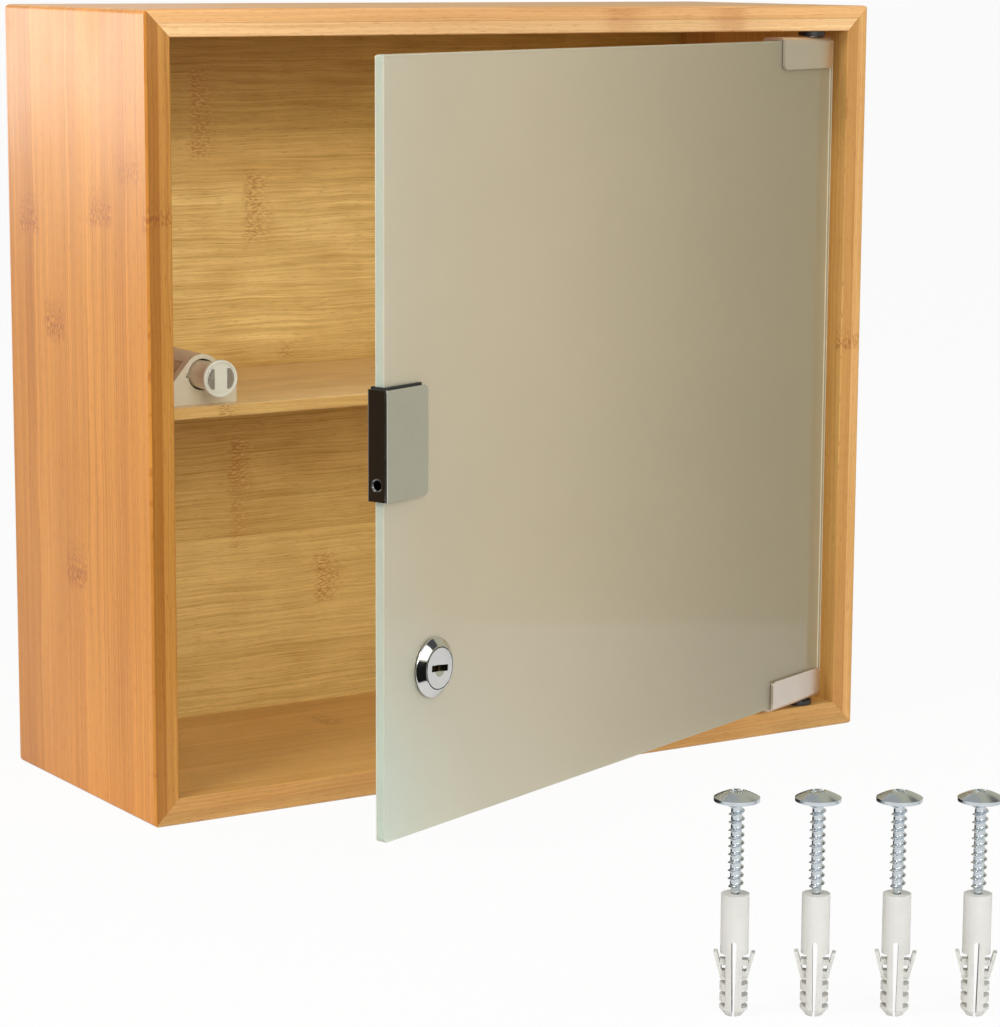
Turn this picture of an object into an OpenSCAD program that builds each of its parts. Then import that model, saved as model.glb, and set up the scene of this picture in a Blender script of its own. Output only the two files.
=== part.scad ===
// Lockable medicine cabinet: mitred bamboo carcass, frosted glass door on pivot clamps,
// quarter-turn cam lock, magnetic push catch, and the loose wall fixings that stand before it.
// Millimetres. X to the right, Y to the wall, Z up. The origin is the middle of the base.

/* [Carcass] */
// Outside width
body_w = 325; // [280:1:400]
// Outside height
body_h = 298; // [260:1:380]
// Outside depth
body_d = 120; // [105:1:160]
// Thickness of the four carcass boards
board_t = 10; // [9:0.5:14]
// Radius of the four long outer edges
corner_r = 2; // [0.5:0.5:4]
// Chamfer on the front edges
arris = 0.8; // [0.3:0.1:1.5]
// Thickness of the back panel
back_t = 4; // [3:0.5:6]
// Width of the rebate that holds the back panel
rebate_w = 5; // [4:0.5:7]
// Thickness of the splines in the mitres
spline_t = 2; // [1.5:0.5:3]
// Width of the splines across the mitre
spline_w = 7; // [5:0.5:8]
// Length of the splines along the depth
spline_len = 80; // [50:1:95]

/* [Back panel fixings] */
// Diameter of the panel pins
pin_nail_d = 1.4; // [1:0.1:2]
// Length of the panel pins
pin_nail_len = 12; // [8:1:16]
// Diameter of a panel pin's head
pin_nail_head_d = 2.6; // [2:0.1:3.5]
// Thickness of a panel pin's head
pin_nail_head_t = 0.6; // [0.4:0.1:1]
// Distance of the end pins from the panel's corners
pin_nail_end = 45; // [30:1:70]
// Diameter of the four wall holes
wall_hole_d = 5.5; // [5:0.1:7]
// Wall holes, centre to centre across
wall_hole_x = 250; // [200:1:270]
// Wall holes, centre to centre in height
wall_hole_z = 228; // [180:1:240]

/* [Shelf] */
// Thickness
shelf_t = 4.5; // [4:0.5:8]
// Height of its upper face above the base
shelf_top = 152.5; // [130:0.5:175]
// Distance of its front edge behind the carcass front, clear of the swinging glass
shelf_setback = 18; // [17.8:0.1:30]
// Depth of the housings in the two sides
housing_depth = 3; // [2:0.5:5]

/* [Glass door] */
// Opening angle at rest, as photographed
door_open = 21.8; // [10:0.1:60]
// Thickness of the glass
glass_t = 4; // [3:0.1:5]
// Gap between the free edge of the glass and the left side, door closed
free_gap = 4.5; // [3:0.1:6]
// Gap between the hinge edge of the glass and the right side
hinge_gap = 3.2; // [3:0.1:6]
// Gap between the glass and the top and bottom boards
end_gap = 3.6; // [3.6:0.1:6]
// Radius of the glass corners
glass_r = 2; // [1:0.5:5]
// Pivot axis behind the carcass front
pivot_setback = 6.5; // [6:0.5:9]
// Pivot axis from the inner face of the right side
pivot_inset = 13.5; // [12.5:0.5:18]
// Middle of the glass in front of the pivot axis
glass_lead = 2.4; // [1.5:0.1:3]

/* [Hinge clamps] */
// Length of a clamp along the glass edge
clamp_len = 37.2; // [30:0.1:50]
// A clamp ends this far inside the hinge edge of the glass
clamp_short = 3.1; // [2:0.1:5]
// Thickness of a clamp from front to back
clamp_depth = 11.2; // [10.6:0.1:12]
// Height of a clamp's leaves below the top plate
clamp_drop = 11.4; // [9:0.1:16]
// Thickness of the front leaf and of the top plate
clamp_sheet = 1.2; // [1:0.1:2]
// Thickness of the back leaf that holds the grub screws
clamp_jaw = 3.5; // [3:0.1:5]
// Outer radius of the bend
clamp_bend = 2.6; // [1.5:0.1:4]
// Radius of the leaf corners
clamp_corner = 2; // [1:0.1:3]
// Thickness of the front liner
liner_front = 0.3; // [0.3:0.1:1]
// Thickness of the back liner
liner_back = 1; // [0.5:0.1:1.5]
// The liners end this far inside the clamp's edges
clamp_liner_in = 1; // [0.5:0.1:3]
// Diameter of the grub screws
grub_d = 4; // [3:0.5:5]
// Distance of the grub screws from the ends of the clamp
grub_end = 9; // [6:0.5:12]
// Socket of the grub screws across its corners
grub_socket_d = 2.3; // [1.5:0.1:3]
// Depth of the grub screws' socket
grub_socket_h = 2; // [1:0.1:3]
// Grub screws below the clamp's face
grub_sunk = 0.4; // [0.1:0.1:1]

/* [Pivots] */
// Diameter of the hinge pins
hinge_pin_d = 5; // [4:0.5:6]
// Length of a pin inside the board
hinge_pin_reach = 6; // [4:0.5:6.5]
// Outer diameter of the bushes
bush_d = 8; // [7:0.5:9]
// Depth of the bush holes
bush_depth = 7; // [6:0.5:8]
// Diameter of the bush flanges
flange_d = 11; // [10:0.5:12]
// Thickness of the bush flanges
flange_t = 2; // [1.5:0.1:2.5]
// Running clearance of round moving fits, on the radius
running = 0.05; // [0.03:0.01:0.09]
// End play of turning parts
end_play = 0.3; // [0.2:0.1:0.5]

/* [Handle clip] */
// Height of the clip
clip_h = 38.6; // [30:0.1:60]
// Height of the clip's middle above the base
clip_z = 152.8; // [140:0.1:170]
// Length of its two leaves
clip_leaf = 23.4; // [22:0.1:35]
// Thickness of its sheet
clip_sheet = 1; // [0.8:0.1:2]
// Outer radius of its bends
clip_bend = 1.1; // [0.5:0.1:2]
// Radius of the leaf corners
clip_corner = 2.5; // [1:0.1:5]
// Liner between clip and glass, front
clip_liner_front = 1.2; // [0.5:0.1:1.5]
// Liner between clip and glass, back
clip_liner_back = 1.5; // [1:0.1:2.5]
// Liner between clip and glass, edge
clip_liner_edge = 0.3; // [0.3:0.1:1]
// The liner ends this far above the clip's lower end
clip_liner_in = 0.8; // [0.5:0.1:3]
// The liner stands this far out of the clip's upper end
clip_liner_out = 0.8; // [0.4:0.1:1.5]
// Diameter of the set screw in the edge
clip_screw_d = 4.6; // [3:0.1:5]
// Set screw above the lower end of the clip
clip_screw_up = 5.8; // [5:0.1:12]
// Set screw below the clip's face
clip_screw_sunk = 0.2; // [0.1:0.1:0.4]
// Depth of the set screw's socket
clip_socket_h = 0.8; // [0.4:0.1:1]

/* [Lock] */
// Lock axis from the free edge of the glass
lock_edge = 27.5; // [26:0.5:40]
// Lock axis above the base
lock_z = 71.5; // [50:0.1:110]
// Diameter of the ring's foot
ring_d = 21.5; // [20:0.5:26]
// Diameter of the ring's front
ring_front_d = 15.8; // [15.5:0.1:19]
// Height of the ring above its gasket
ring_h = 2.6; // [2:0.1:6]
// Height of the ring's straight foot
ring_foot = 0.5; // [0.4:0.1:2]
// Step from the ring's foot to its bevel
ring_step = 0.2; // [0.1:0.1:0.5]
// Diameter of the threaded barrel
barrel_d = 16; // [14:0.5:18]
// Length of the barrel behind the glass
barrel_back = 10.4; // [9:0.1:16]
// Clearance of the barrel in the glass, on the radius
barrel_play = 0.5; // [0.2:0.1:1]
// Thickness of the front gasket
gasket_t = 0.6; // [0.4:0.1:1]
// The front gasket ends this far inside the ring
gasket_in = 0.3; // [0.1:0.1:1]
// Thickness of the washer behind the glass
washer_t = 1; // [0.6:0.1:2]
// Thickness of the ring nut
nut_t = 3.5; // [2.5:0.1:5]
// Diameter of the ring nut
nut_d = 21; // [19:0.5:25]
// Width of the nut's four slots
nut_slot_w = 3; // [2:0.5:4]
// Depth of the nut's four slots
nut_slot_h = 1; // [0.5:0.1:1.5]
// Diameter of the plug face
plug_face_d = 14.6; // [13:0.1:15]
// Thickness of the plug face
plug_face_t = 1.5; // [1:0.1:2]
// Plug face in front of the ring
plug_proud = 0.1; // [0.1:0.1:0.5]
// Diameter of the plug body
plug_d = 11; // [10:0.5:12]
// Gap round the plug face
plug_gap = 0.2; // [0.1:0.05:0.4]
// The plug rests this far round from a level keyway
key_rest = 6; // [0:1:12]
// Width of the keyway
key_w = 9.2; // [8:0.1:9.4]
// Height of the keyway
key_h = 2.2; // [1.8:0.1:2.4]
// Diameter of the dimple round the keyway
dimple_d = 6; // [4:0.5:8]
// Depth of the dimple
dimple_h = 0.5; // [0.3:0.1:0.8]
// Diameter at the bottom of the dimple
dimple_tip_d = 0.5; // [0.2:0.1:1]
// Number of wafers
wafers = 5; // [4:1:6]
// Thickness of a wafer
wafer_t = 0.8; // [0.6:0.1:1]
// Height of a wafer across the keyway
wafer_h = 4; // [3.6:0.1:4.4]
// Distance from wafer to wafer
wafer_pitch = 2.2; // [2:0.1:2.6]
// First wafer behind the back of the plug face
wafer_in = 3; // [2:0.1:3.2]
// Width of a wafer beside the keyway
wafer_edge = 0.5; // [0.3:0.1:0.8]
// Clearance of a wafer in its slot, on each side
wafer_play = 0.1; // [0.05:0.05:0.2]
// Side of the square tail
tail_side = 6; // [5:0.5:7]
// Thickness of the cam
cam_t = 1.6; // [1.2:0.1:2.5]
// Length of the cam from its axis to its tip
cam_len = 36; // [34:0.5:38]
// Width of the cam
cam_w = 10; // [8:0.5:12]
// Diameter of the cam's eye
cam_eye_d = 14; // [12:0.5:16]
// Depth of the mortise in the left side
mortise_depth = 5.5; // [5:0.5:7]
// Room round the cam in the mortise
mortise_room = 1.7; // [1.2:0.1:2.5]
// Length of the cam screw in the plug
cam_screw_in = 3; // [2:0.1:4]
// Diameter of the cam screw
cam_screw_d = 3; // [2.5:0.5:4]
// Diameter of the cam screw's head
cam_screw_head_d = 7.5; // [6:0.5:9]
// Diameter at the lower edge of the cam screw's head
cam_screw_low_d = 5.5; // [5:0.5:7]
// Height of the cam screw's head
cam_screw_head_h = 2; // [1.5:0.1:3]

/* [Cross recesses] */
// Width of the arms, wall screws
cross_w = 1.1; // [0.8:0.1:1.5]
// Span of the arms, wall screws
cross_span = 5; // [3:0.1:6]
// Depth of the arms, wall screws
cross_h = 1.5; // [1:0.1:2]
// Width of the arms, small screws
small_cross_w = 0.8; // [0.5:0.1:1]
// Span of the arms, small screws
small_cross_span = 3.4; // [2.5:0.1:4]
// Depth of the arms, small screws
small_cross_h = 0.9; // [0.5:0.1:1.2]

/* [Push catch] */
// Catch axis from the inner face of the left side
catch_inset = 23.7; // [22:0.1:30]
// Catch axis above the shelf
catch_up = 11; // [9:0.1:13]
// Width of the housing's foot
catch_foot_w = 28.4; // [28.2:0.1:36]
// Height of the foot's ends at the front plate
catch_foot_h = 6; // [4:0.5:8]
// Thickness of the foot behind the front plate
catch_flange_t = 2.5; // [2:0.1:4]
// Thickness of the front plate
catch_plate_t = 4; // [3:0.5:6]
// Outer diameter of the barrel
catch_barrel_d = 15.2; // [15:0.1:20]
// Bore of the barrel
catch_bore_d = 11.8; // [11.4:0.1:13]
// Length of the housing
catch_len = 40; // [36:1:50]
// Wall that closes the bore at the back
catch_end_t = 3; // [2:0.5:5]
// Width of the web under the barrel
catch_web = 7; // [5:0.5:10]
// Guide slot in the bore, width
guide_w = 1.8; // [1.2:0.1:2.5]
// Guide slot in the bore, depth
guide_h = 0.9; // [0.6:0.1:1.1]
// Clearance of the sleeve's rib in the guide slot
guide_play = 0.2; // [0.1:0.05:0.3]
// The rib ends this far behind the barrel's mouth
rib_back = 2; // [1:0.5:4]
// How far the head stands out of the barrel at rest
plunger_out = 15.2; // [14:0.1:18]
// Diameter of the plunger sleeve
sleeve_d = 10.4; // [10.2:0.1:11]
// Length of the plunger sleeve inside the barrel at rest
sleeve_in = 14; // [12:0.5:18]
// Diameter of the head
head_d = 14; // [13:0.5:16]
// Thickness of the head
head_t = 1.8; // [1.6:0.1:4]
// Radius of the head's rim
head_r = 0.8; // [0.4:0.1:1.2]
// Gap between the head and the closed door's clip
strike_gap = 0.3; // [0.3:0.1:1]
// Diameter of the recess in the head's face
recess_d = 12; // [10.8:0.1:12.4]
// Depth of the recess in the head's face
recess_h = 0.4; // [0.2:0.1:0.8]
// Width of the magnet between the two pole plates
magnet_w = 5.2; // [4.8:0.1:6]
// Height of the magnet and the pole plates
pole_h = 7.6; // [6:0.1:8]
// Radius that the pole plates are rounded to
pole_r = 5.4; // [5:0.1:5.8]
// How far the pole plates stand proud of the recess
pole_proud = 0.3; // [0.1:0.05:0.4]
// Thickness of the head's skin over the magnet
magnet_skin = 1; // [0.8:0.1:2]
// Length of the magnet
magnet_len = 4.4; // [3:0.1:6]
// Wall between the magnet and the spring's pocket
magnet_wall = 2.4; // [1:0.1:4]
// Pocket for the spring in the sleeve, diameter
pocket_d = 8.8; // [8.4:0.1:9.2]
// Outer diameter of the spring
spring_d = 8.2; // [7:0.1:8.6]
// Wire of the spring
wire_d = 0.9; // [0.6:0.1:1.2]
// Turns of the spring
spring_turns = 9; // [6:1:14]
// Clearance that seats the spring's ends
spring_seat = 0.1; // [0.05:0.05:0.2]

/* [Catch screws] */
// Diameter of the catch screws
catch_screw_d = 3; // [2.5:0.1:3.5]
// Length of the catch screws under the head
catch_screw_len = 6.2; // [5:0.1:6.8]
// Head diameter of the catch screws
catch_screw_head_d = 5.6; // [5:0.1:6]
// Head height of the catch screws
catch_screw_head_h = 1.6; // [1.2:0.1:2]
// Distance of the catch screws from the catch axis
catch_screw_x = 11.2; // [11:0.1:13]
// Distance of the catch screws behind the front
catch_screw_back = 24; // [15:1:32]

/* [Loose wall fixings] */
// Number of screws and of plugs
fixings = 4; // [2:1:4]
// First fixing stands here, across
fixing_x = -107.7; // [-130:0.1:-90]
// First fixing stands here, from front to back
fixing_y = -343; // [-380:1:-330]
// Next fixing, across
fixing_step_x = 20.9; // [18:0.1:30]
// Next fixing, to the front
fixing_step_y = 12.8; // [5:0.1:20]
// Turn of the plugs' split from the front
plug_turn = 39; // [0:1:90]
// Length of a plug
plug_len = 38; // [30:1:45]
// Diameter of a plug's collar
plug_collar_d = 8.6; // [7:0.1:10]
// Bore of a plug
plug_bore_d = 2.6; // [2:0.1:4]
// Length of the plain collar
plug_collar_len = 18.5; // [15:0.5:22]
// Height of the split
plug_split = 23; // [14:0.5:26]
// Width of the split at its upper end
plug_split_w = 1.6; // [1:0.1:2.5]
// Width of the split at the lower end
plug_split_low_w = 0.7; // [0.4:0.1:1.2]
// Width of the web between the notches
plug_web_w = 5; // [4:0.1:6]
// Height of the notches between the teeth
plug_notch_h = 1.5; // [1:0.1:2]
// Distance from notch to notch
plug_notch_pitch = 3.6; // [3:0.1:5]
// Length of the tapered end
plug_taper = 2.2; // [1:0.1:4]
// Diameter of the lower end
plug_end_d = 5; // [4:0.1:7]
// Width across the tips of the two wings
plug_wing_w = 12.6; // [11:0.1:16]
// Height of the wings' roots above the lower end
plug_wing_z = 12.2; // [10:0.1:14]
// Height of a wing from root to tip
plug_wing_h = 7.7; // [6:0.1:9]
// Thickness of a wing across its slope
plug_wing_t = 1.1; // [0.8:0.1:2]
// Width of a wing from front to back
plug_wing_d = 3; // [2:0.1:5]
// Height of the strut between a wing and the body
plug_strut_h = 1.8; // [1:0.1:3]
// Length of a wall screw, head included
screw_len = 34.6; // [30:0.1:45]
// Diameter of a wall screw
screw_d = 4.4; // [3.5:0.1:5]
// Diameter of the wafer head
screw_head_d = 14; // [11:0.1:16]
// Height of the wafer head
screw_head_h = 3.2; // [2:0.1:4]
// Thickness of the wafer head's rim
screw_rim = 1.2; // [0.8:0.1:2]
// Width of the head's flat crown
screw_crown_d = 4.4; // [3:0.1:8]
// Length of the point
screw_point = 5; // [4:0.5:9]
// Diameter at the tip of the point
screw_tip_d = 0.6; // [0.3:0.1:1]

/* [Hidden] */
$fn = 48;
over = 1;                                        // how far a cutter reaches past a face
front_y = -body_d / 2;
inner_x = body_w / 2 - board_t;
inner_z0 = board_t;
inner_z1 = body_h - board_t;
back_y = body_d / 2 - back_t;                    // front face of the back panel

// door, in the frame of its pivot axis: closed, free edge to -X, outside to -Y
pivot_x = inner_x - pivot_inset;
pivot_y = front_y + pivot_setback;
glass_x0 = -inner_x + free_gap - pivot_x;        // free edge
glass_x1 = inner_x - hinge_gap - pivot_x;         // hinge edge
glass_y0 = -glass_lead - glass_t / 2;            // outer face
glass_y1 = -glass_lead + glass_t / 2;            // inner face
glass_z0 = inner_z0 + end_gap;
glass_z1 = inner_z1 - end_gap;

// hinge clamps
clamp_y0 = glass_y0 - liner_front - clamp_sheet;
clamp_y1 = clamp_y0 + clamp_depth;
clamp_top = inner_z1 - flange_t - end_play;
clamp_in = clamp_top - clamp_sheet;              // underside of the top plate
clamp_low = clamp_in - clamp_drop;
clamp_x1 = glass_x1 - clamp_short;
clamp_x0 = clamp_x1 - clamp_len;
liner_z0 = clamp_low + clamp_liner_in;
grub_z = clamp_in - clamp_drop / 2;
jaw_y = clamp_y1 - clamp_jaw;

// handle clip
clip_y0 = glass_y0 - clip_liner_front - clip_sheet;
clip_y1 = glass_y1 + clip_liner_back + clip_sheet;
clip_x0 = glass_x0 - clip_liner_edge - clip_sheet;
clip_z0 = clip_z - clip_h / 2;

// lock, in the frame of its axis: outside to +Z, up to +Y
lock_x = glass_x0 + lock_edge;
glass_out = -glass_y0;
glass_back = -glass_y1;
ring_back = glass_out + gasket_t;
ring_top = ring_back + ring_h;
plug_top = ring_top + plug_proud;
plug_step = plug_top - plug_face_t;
barrel_end = glass_back - barrel_back;
tail_top = barrel_end - end_play;
cam_back = tail_top - cam_t;
wafer_first = plug_step - wafer_in;
wafer_w = 2 * sqrt(pow(plug_d / 2 - wafer_play, 2) - pow(wafer_h / 2, 2)); // ends inside the plug

// push catch, in the frame of its axis: outside to +Z, up to +Y, origin in the front plane
strike_y = pivot_y + clip_y1;                    // back face of the clip, door closed
catch_x = -inner_x + catch_inset;
catch_y = strike_y + strike_gap + plunger_out;
catch_z = shelf_top + catch_up;
bore_end = -catch_len + catch_end_t;
head_back = plunger_out - head_t;
face = plunger_out - recess_h;                    // floor of the recess in the head
magnet_front = face - magnet_skin;
pocket_end = magnet_front - magnet_len - magnet_wall;
spring_len = pocket_end - bore_end - 2 * spring_seat;

plug_collar_z = plug_len - plug_collar_len;

// wall screws: each is started until its point meets the rim of the plug's bore
screw_started = screw_point * (plug_bore_d - screw_tip_d) / (screw_d - screw_tip_d);

// node list for the export

// ---------- placing ----------

// puts a piece made in the closed door's frame where the open door is
module on_door() {
  translate([pivot_x, pivot_y, 0]) rotate([0, 0, door_open]) children();
}

// frame of the lock axis, inside the door's frame
module on_lock() {
  on_door() translate([lock_x, 0, lock_z]) rotate([90, 0, 0]) children();
}

// frame of the plug, which rests a little round from level
module on_plug() {
  on_lock() rotate(-key_rest) children();
}

// frame of the catch axis
module at_catch() {
  translate([catch_x, catch_y, catch_z]) rotate([90, 0, 0]) children();
}

// turns the upper end of the door into the lower one
module lower_end() {
  translate([0, 0, body_h]) mirror([0, 0, 1]) children();
}

// extrudes a front view, drawn in X and Z, from y0 to y1
module along_y(y0, y1) {
  translate([0, y1, 0]) rotate([90, 0, 0]) linear_extrude(y1 - y0) children();
}

// extrudes a side view, drawn in Y and Z, from x0 to x1
module along_x(x0, x1) {
  translate([x0, 0, 0]) rotate([90, 0, 90]) linear_extrude(x1 - x0) children();
}

// ---------- small shapes ----------

// rectangle with round corners, its lower left corner at the origin
module round_rect(w, h, r) {
  translate([r, 0]) square([w - 2 * r, h]);
  translate([0, r]) square([w, h - 2 * r]);
  for (x = [r, w - r], y = [r, h - r]) translate([x, y]) circle(r);
}

// long diamond along X that takes a chamfer off an edge through the origin
module arris_cutter(length, size) {
  rotate([45, 0, 0]) cube([length, size * sqrt(2), size * sqrt(2)], center = true);
}

// two crossed slots, as deep above the origin as below it
module cross(span, w, depth) {
  for (a = [0, 90]) rotate(a) cube([span, w, 2 * depth], center = true);
}

// ---------- carcass ----------

// front view of one board: a sector of the rounded outline, cut at the mitres
module board_view(upright, far) {
  side = far ? 1 : -1;
  mid = body_h / 2;
  intersection() {
    translate([-body_w / 2, 0]) round_rect(body_w, body_h, corner_r);
    if (upright)
      polygon([[side * body_w / 2, 0], [side * inner_x, inner_z0],
        [side * inner_x, inner_z1], [side * body_w / 2, body_h]]);
    else
      translate([0, mid]) polygon([[-body_w / 2, side * mid],
        [-inner_x, side * (mid - board_t)], [inner_x, side * (mid - board_t)],
        [body_w / 2, side * mid]]);
  }
}

// the rebate for the back panel, all round
module rebate_cut() {
  translate([-inner_x - rebate_w, back_y, inner_z0 - rebate_w])
    cube([2 * (inner_x + rebate_w), back_t + over, inner_z1 - inner_z0 + 2 * rebate_w]);
}

// chamfers along the front edges of two facing boards, outside and half as large inside
module front_arrises(upright) {
  half = (upright ? body_w : body_h) / 2;
  translate([0, front_y, body_h / 2]) rotate([0, upright ? 90 : 0, 0]) for (s = [-1, 1]) {
    translate([0, 0, s * half]) arris_cutter(2 * body_w, arris);
    translate([0, 0, s * (half - board_t)]) arris_cutter(2 * body_w, arris / 2);
  }
}

// the four splines, each square across its mitre
module splines() {
  for (sx = [-1, 1], top = [0, 1])
    translate([sx * (body_w / 2 - board_t / 2), 0, top ? body_h - board_t / 2 : board_t / 2])
      rotate([0, (top ? 1 : -1) * sx * 45, 0])
        cube([spline_t, spline_len, spline_w], center = true);
}

// the pins that hold the back panel: two along each edge
module nails() {
  edge_x = inner_x + rebate_w / 2;
  edge_z0 = inner_z0 - rebate_w / 2;
  edge_z1 = inner_z1 + rebate_w / 2;
  for (x = [-edge_x, edge_x], z = [inner_z0 + pin_nail_end, inner_z1 - pin_nail_end])
    translate([x, body_d / 2, z]) nail();
  for (x = [-inner_x + pin_nail_end, inner_x - pin_nail_end], z = [edge_z0, edge_z1])
    translate([x, body_d / 2, z]) nail();
}

// one panel pin, its head let in flush with the panel
module nail() {
  rotate([90, 0, 0]) {
    cylinder(h = pin_nail_len, d = pin_nail_d, $fn = 16);
    cylinder(h = pin_nail_head_t, d = pin_nail_head_d, $fn = 16);
  }
}

// the room that the cam needs in the left side
module mortise() {
  reach = sqrt(pow(cam_len, 2) - pow(pivot_x + lock_x + inner_x, 2));
  w = cam_t + 2 * mortise_room;
  y = pivot_y - cam_back - cam_t / 2;
  low = lock_z - cam_w / 2 - mortise_room + w / 2;
  high = lock_z + reach + mortise_room - w / 2;
  translate([-inner_x - mortise_depth, y, 0]) {
    translate([0, -w / 2, low]) cube([mortise_depth + over, w, high - low]);
    for (z = [low, high])
      translate([0, 0, z]) rotate([0, 90, 0]) cylinder(h = mortise_depth + over, d = w);
  }
}

// the room that the shelf needs in the two sides
module shelf_blank() {
  reach = inner_x + housing_depth;
  translate([-reach, front_y + shelf_setback, shelf_top - shelf_t])
    cube([2 * reach, back_y - front_y - shelf_setback, shelf_t]);
}

// the hole for a bush
module bush_hole() {
  translate([pivot_x, pivot_y, inner_z1]) cylinder(h = bush_depth, d = bush_d);
}

module board_blank(upright, far) {
  difference() {
    along_y(front_y, body_d / 2) board_view(upright, far);
    rebate_cut();
    front_arrises(upright);
    splines();
    nails();
  }
}

module left_side() {
  color([0.86, 0.66, 0.42]) difference() {
    board_blank(true, false);
    shelf_blank();
    mortise();
  }
}

module right_side() {
  color([0.86, 0.66, 0.42]) difference() {
    board_blank(true, true);
    shelf_blank();
  }
}

module top_board() {
  color([0.88, 0.68, 0.45]) difference() {
    board_blank(false, true);
    bush_hole();
  }
}

module bottom_board() {
  color([0.78, 0.56, 0.32]) difference() {
    board_blank(false, false);
    lower_end() bush_hole();
  }
}

module back_panel() {
  w = 2 * (inner_x + rebate_w);
  h = inner_z1 - inner_z0 + 2 * rebate_w;
  color([0.80, 0.60, 0.36]) difference() {
    translate([-w / 2, back_y, inner_z0 - rebate_w]) cube([w, back_t, h]);
    for (x = [-wall_hole_x / 2, wall_hole_x / 2], z = [-wall_hole_z / 2, wall_hole_z / 2])
      translate([x, body_d / 2 + over, body_h / 2 + z]) rotate([90, 0, 0])
        cylinder(h = back_t + 2 * over, d = wall_hole_d);
    nails();
  }
}

module shelf() {
  reach = inner_x + housing_depth;
  color([0.82, 0.63, 0.38]) difference() {
    shelf_blank();
    for (z = [shelf_top, shelf_top - shelf_t])
      translate([0, front_y + shelf_setback, z]) arris_cutter(2 * reach + over, arris / 2);
    screws_of_catch();
  }
}

module corner_splines() {
  color([0.70, 0.50, 0.30]) splines();
}

module panel_pins() {
  color([0.60, 0.60, 0.62]) nails();
}

// ---------- pivots ----------

module hinge_bush_upper() {
  color([0.06, 0.06, 0.07]) translate([pivot_x, pivot_y, inner_z1]) difference() {
    union() {
      cylinder(h = bush_depth, d = bush_d);
      translate([0, 0, -flange_t]) cylinder(h = flange_t, d = flange_d);
    }
    translate([0, 0, -flange_t - over])
      cylinder(h = flange_t + 2 * over + bush_depth, d = hinge_pin_d + 2 * running);
  }
}

module hinge_bush_lower() {
  lower_end() hinge_bush_upper();
}

// the pin is riveted in the top plate and turns in the bush
module hinge_pin_upper() {
  color([0.75, 0.75, 0.77]) on_door() translate([0, 0, clamp_in])
    cylinder(h = inner_z1 + hinge_pin_reach - clamp_in, d = hinge_pin_d);
}

module hinge_pin_lower() {
  lower_end() hinge_pin_upper();
}

// ---------- door ----------

module door_glass() {
  bevel = arris / 2;
  color([0.72, 0.76, 0.70, 0.6]) difference() {
    on_door() along_y(glass_y0, glass_y1) translate([glass_x0, glass_z0])
      round_rect(glass_x1 - glass_x0, glass_z1 - glass_z0, glass_r);
    on_lock() translate([0, 0, glass_back - over])
      cylinder(h = glass_t + 2 * over, r = barrel_d / 2 + barrel_play);
    on_door() for (y = [glass_y0, glass_y1]) {
      for (z = [glass_z0, glass_z1]) translate([(glass_x0 + glass_x1) / 2, y, z])
        arris_cutter(glass_x1 - glass_x0 + over, bevel);
      for (x = [glass_x0, glass_x1]) translate([x, y, body_h / 2]) rotate([0, 90, 0])
        arris_cutter(glass_z1 - glass_z0 + over, bevel);
    }
  }
}

// side view of a clamp: a U over the glass edge, with round bends and a thick back leaf
module clamp_view() {
  r = clamp_bend;
  difference() {
    union() {
      translate([clamp_y0, clamp_low]) square([clamp_y1 - clamp_y0, clamp_top - r - clamp_low]);
      translate([clamp_y0 + r, clamp_top - r]) square([clamp_y1 - clamp_y0 - 2 * r, r]);
      for (y = [clamp_y0 + r, clamp_y1 - r]) translate([y, clamp_top - r]) circle(r);
    }
    translate([clamp_y0 + clamp_sheet, clamp_low - over])
      square([jaw_y - clamp_y0 - clamp_sheet, clamp_drop + over]);
  }
}

module grub_places() {
  for (x = [clamp_x0 + grub_end, clamp_x1 - grub_end])
    translate([x, clamp_y1, grub_z]) rotate([90, 0, 0]) children();
}

module hinge_clamp_upper() {
  h = clamp_top - clamp_low;
  color([0.72, 0.70, 0.67]) on_door() difference() {
    intersection() {
      along_x(clamp_x0, clamp_x1) clamp_view();
      along_y(clamp_y0, clamp_y1) translate([clamp_x0, clamp_low])
        round_rect(clamp_len, h + clamp_corner, clamp_corner);
    }
    cylinder(h = body_h, d = hinge_pin_d);
    grub_places() translate([0, 0, -over])
      cylinder(h = clamp_jaw + 2 * over, d = grub_d);
  }
}

module hinge_clamp_lower() {
  lower_end() hinge_clamp_upper();
}

// front and back liners of one clamp
module liner_pair() {
  on_door() for (span = [[glass_y0 - liner_front, glass_y0], [glass_y1, glass_y1 + liner_back]])
    translate([clamp_x0 + clamp_liner_in, span[0], liner_z0])
      cube([clamp_len - 2 * clamp_liner_in, span[1] - span[0],
        glass_z1 - liner_z0 - clamp_liner_in]);
}

module clamp_liners() {
  color([0.12, 0.12, 0.12]) {
    liner_pair();
    lower_end() liner_pair();
  }
}

// the two grub screws of one clamp press the back liner
module grub_pair() {
  reach = clamp_y1 - glass_y1 - liner_back;
  on_door() grub_places() difference() {
    translate([0, 0, grub_sunk]) cylinder(h = reach - grub_sunk, d = grub_d, $fn = 24);
    cylinder(h = grub_socket_h, d = grub_socket_d, $fn = 6);
  }
}

module clamp_grub_screws() {
  color([0.25, 0.25, 0.27]) {
    grub_pair();
    lower_end() grub_pair();
  }
}

// ---------- handle clip ----------

// plan of a U round the free edge, from its web to the leaf ends, with round outer bends
module u_plan(x0, y0, y1, leaf, web, front, back, bend) {
  difference() {
    union() {
      translate([x0 + bend, y0]) square([leaf - bend, y1 - y0]);
      translate([x0, y0 + bend]) square([bend, y1 - y0 - 2 * bend]);
      for (y = [y0 + bend, y1 - bend]) translate([x0 + bend, y]) circle(bend);
    }
    translate([x0 + web, y0 + front]) square([leaf, y1 - y0 - front - back]);
  }
}

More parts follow.
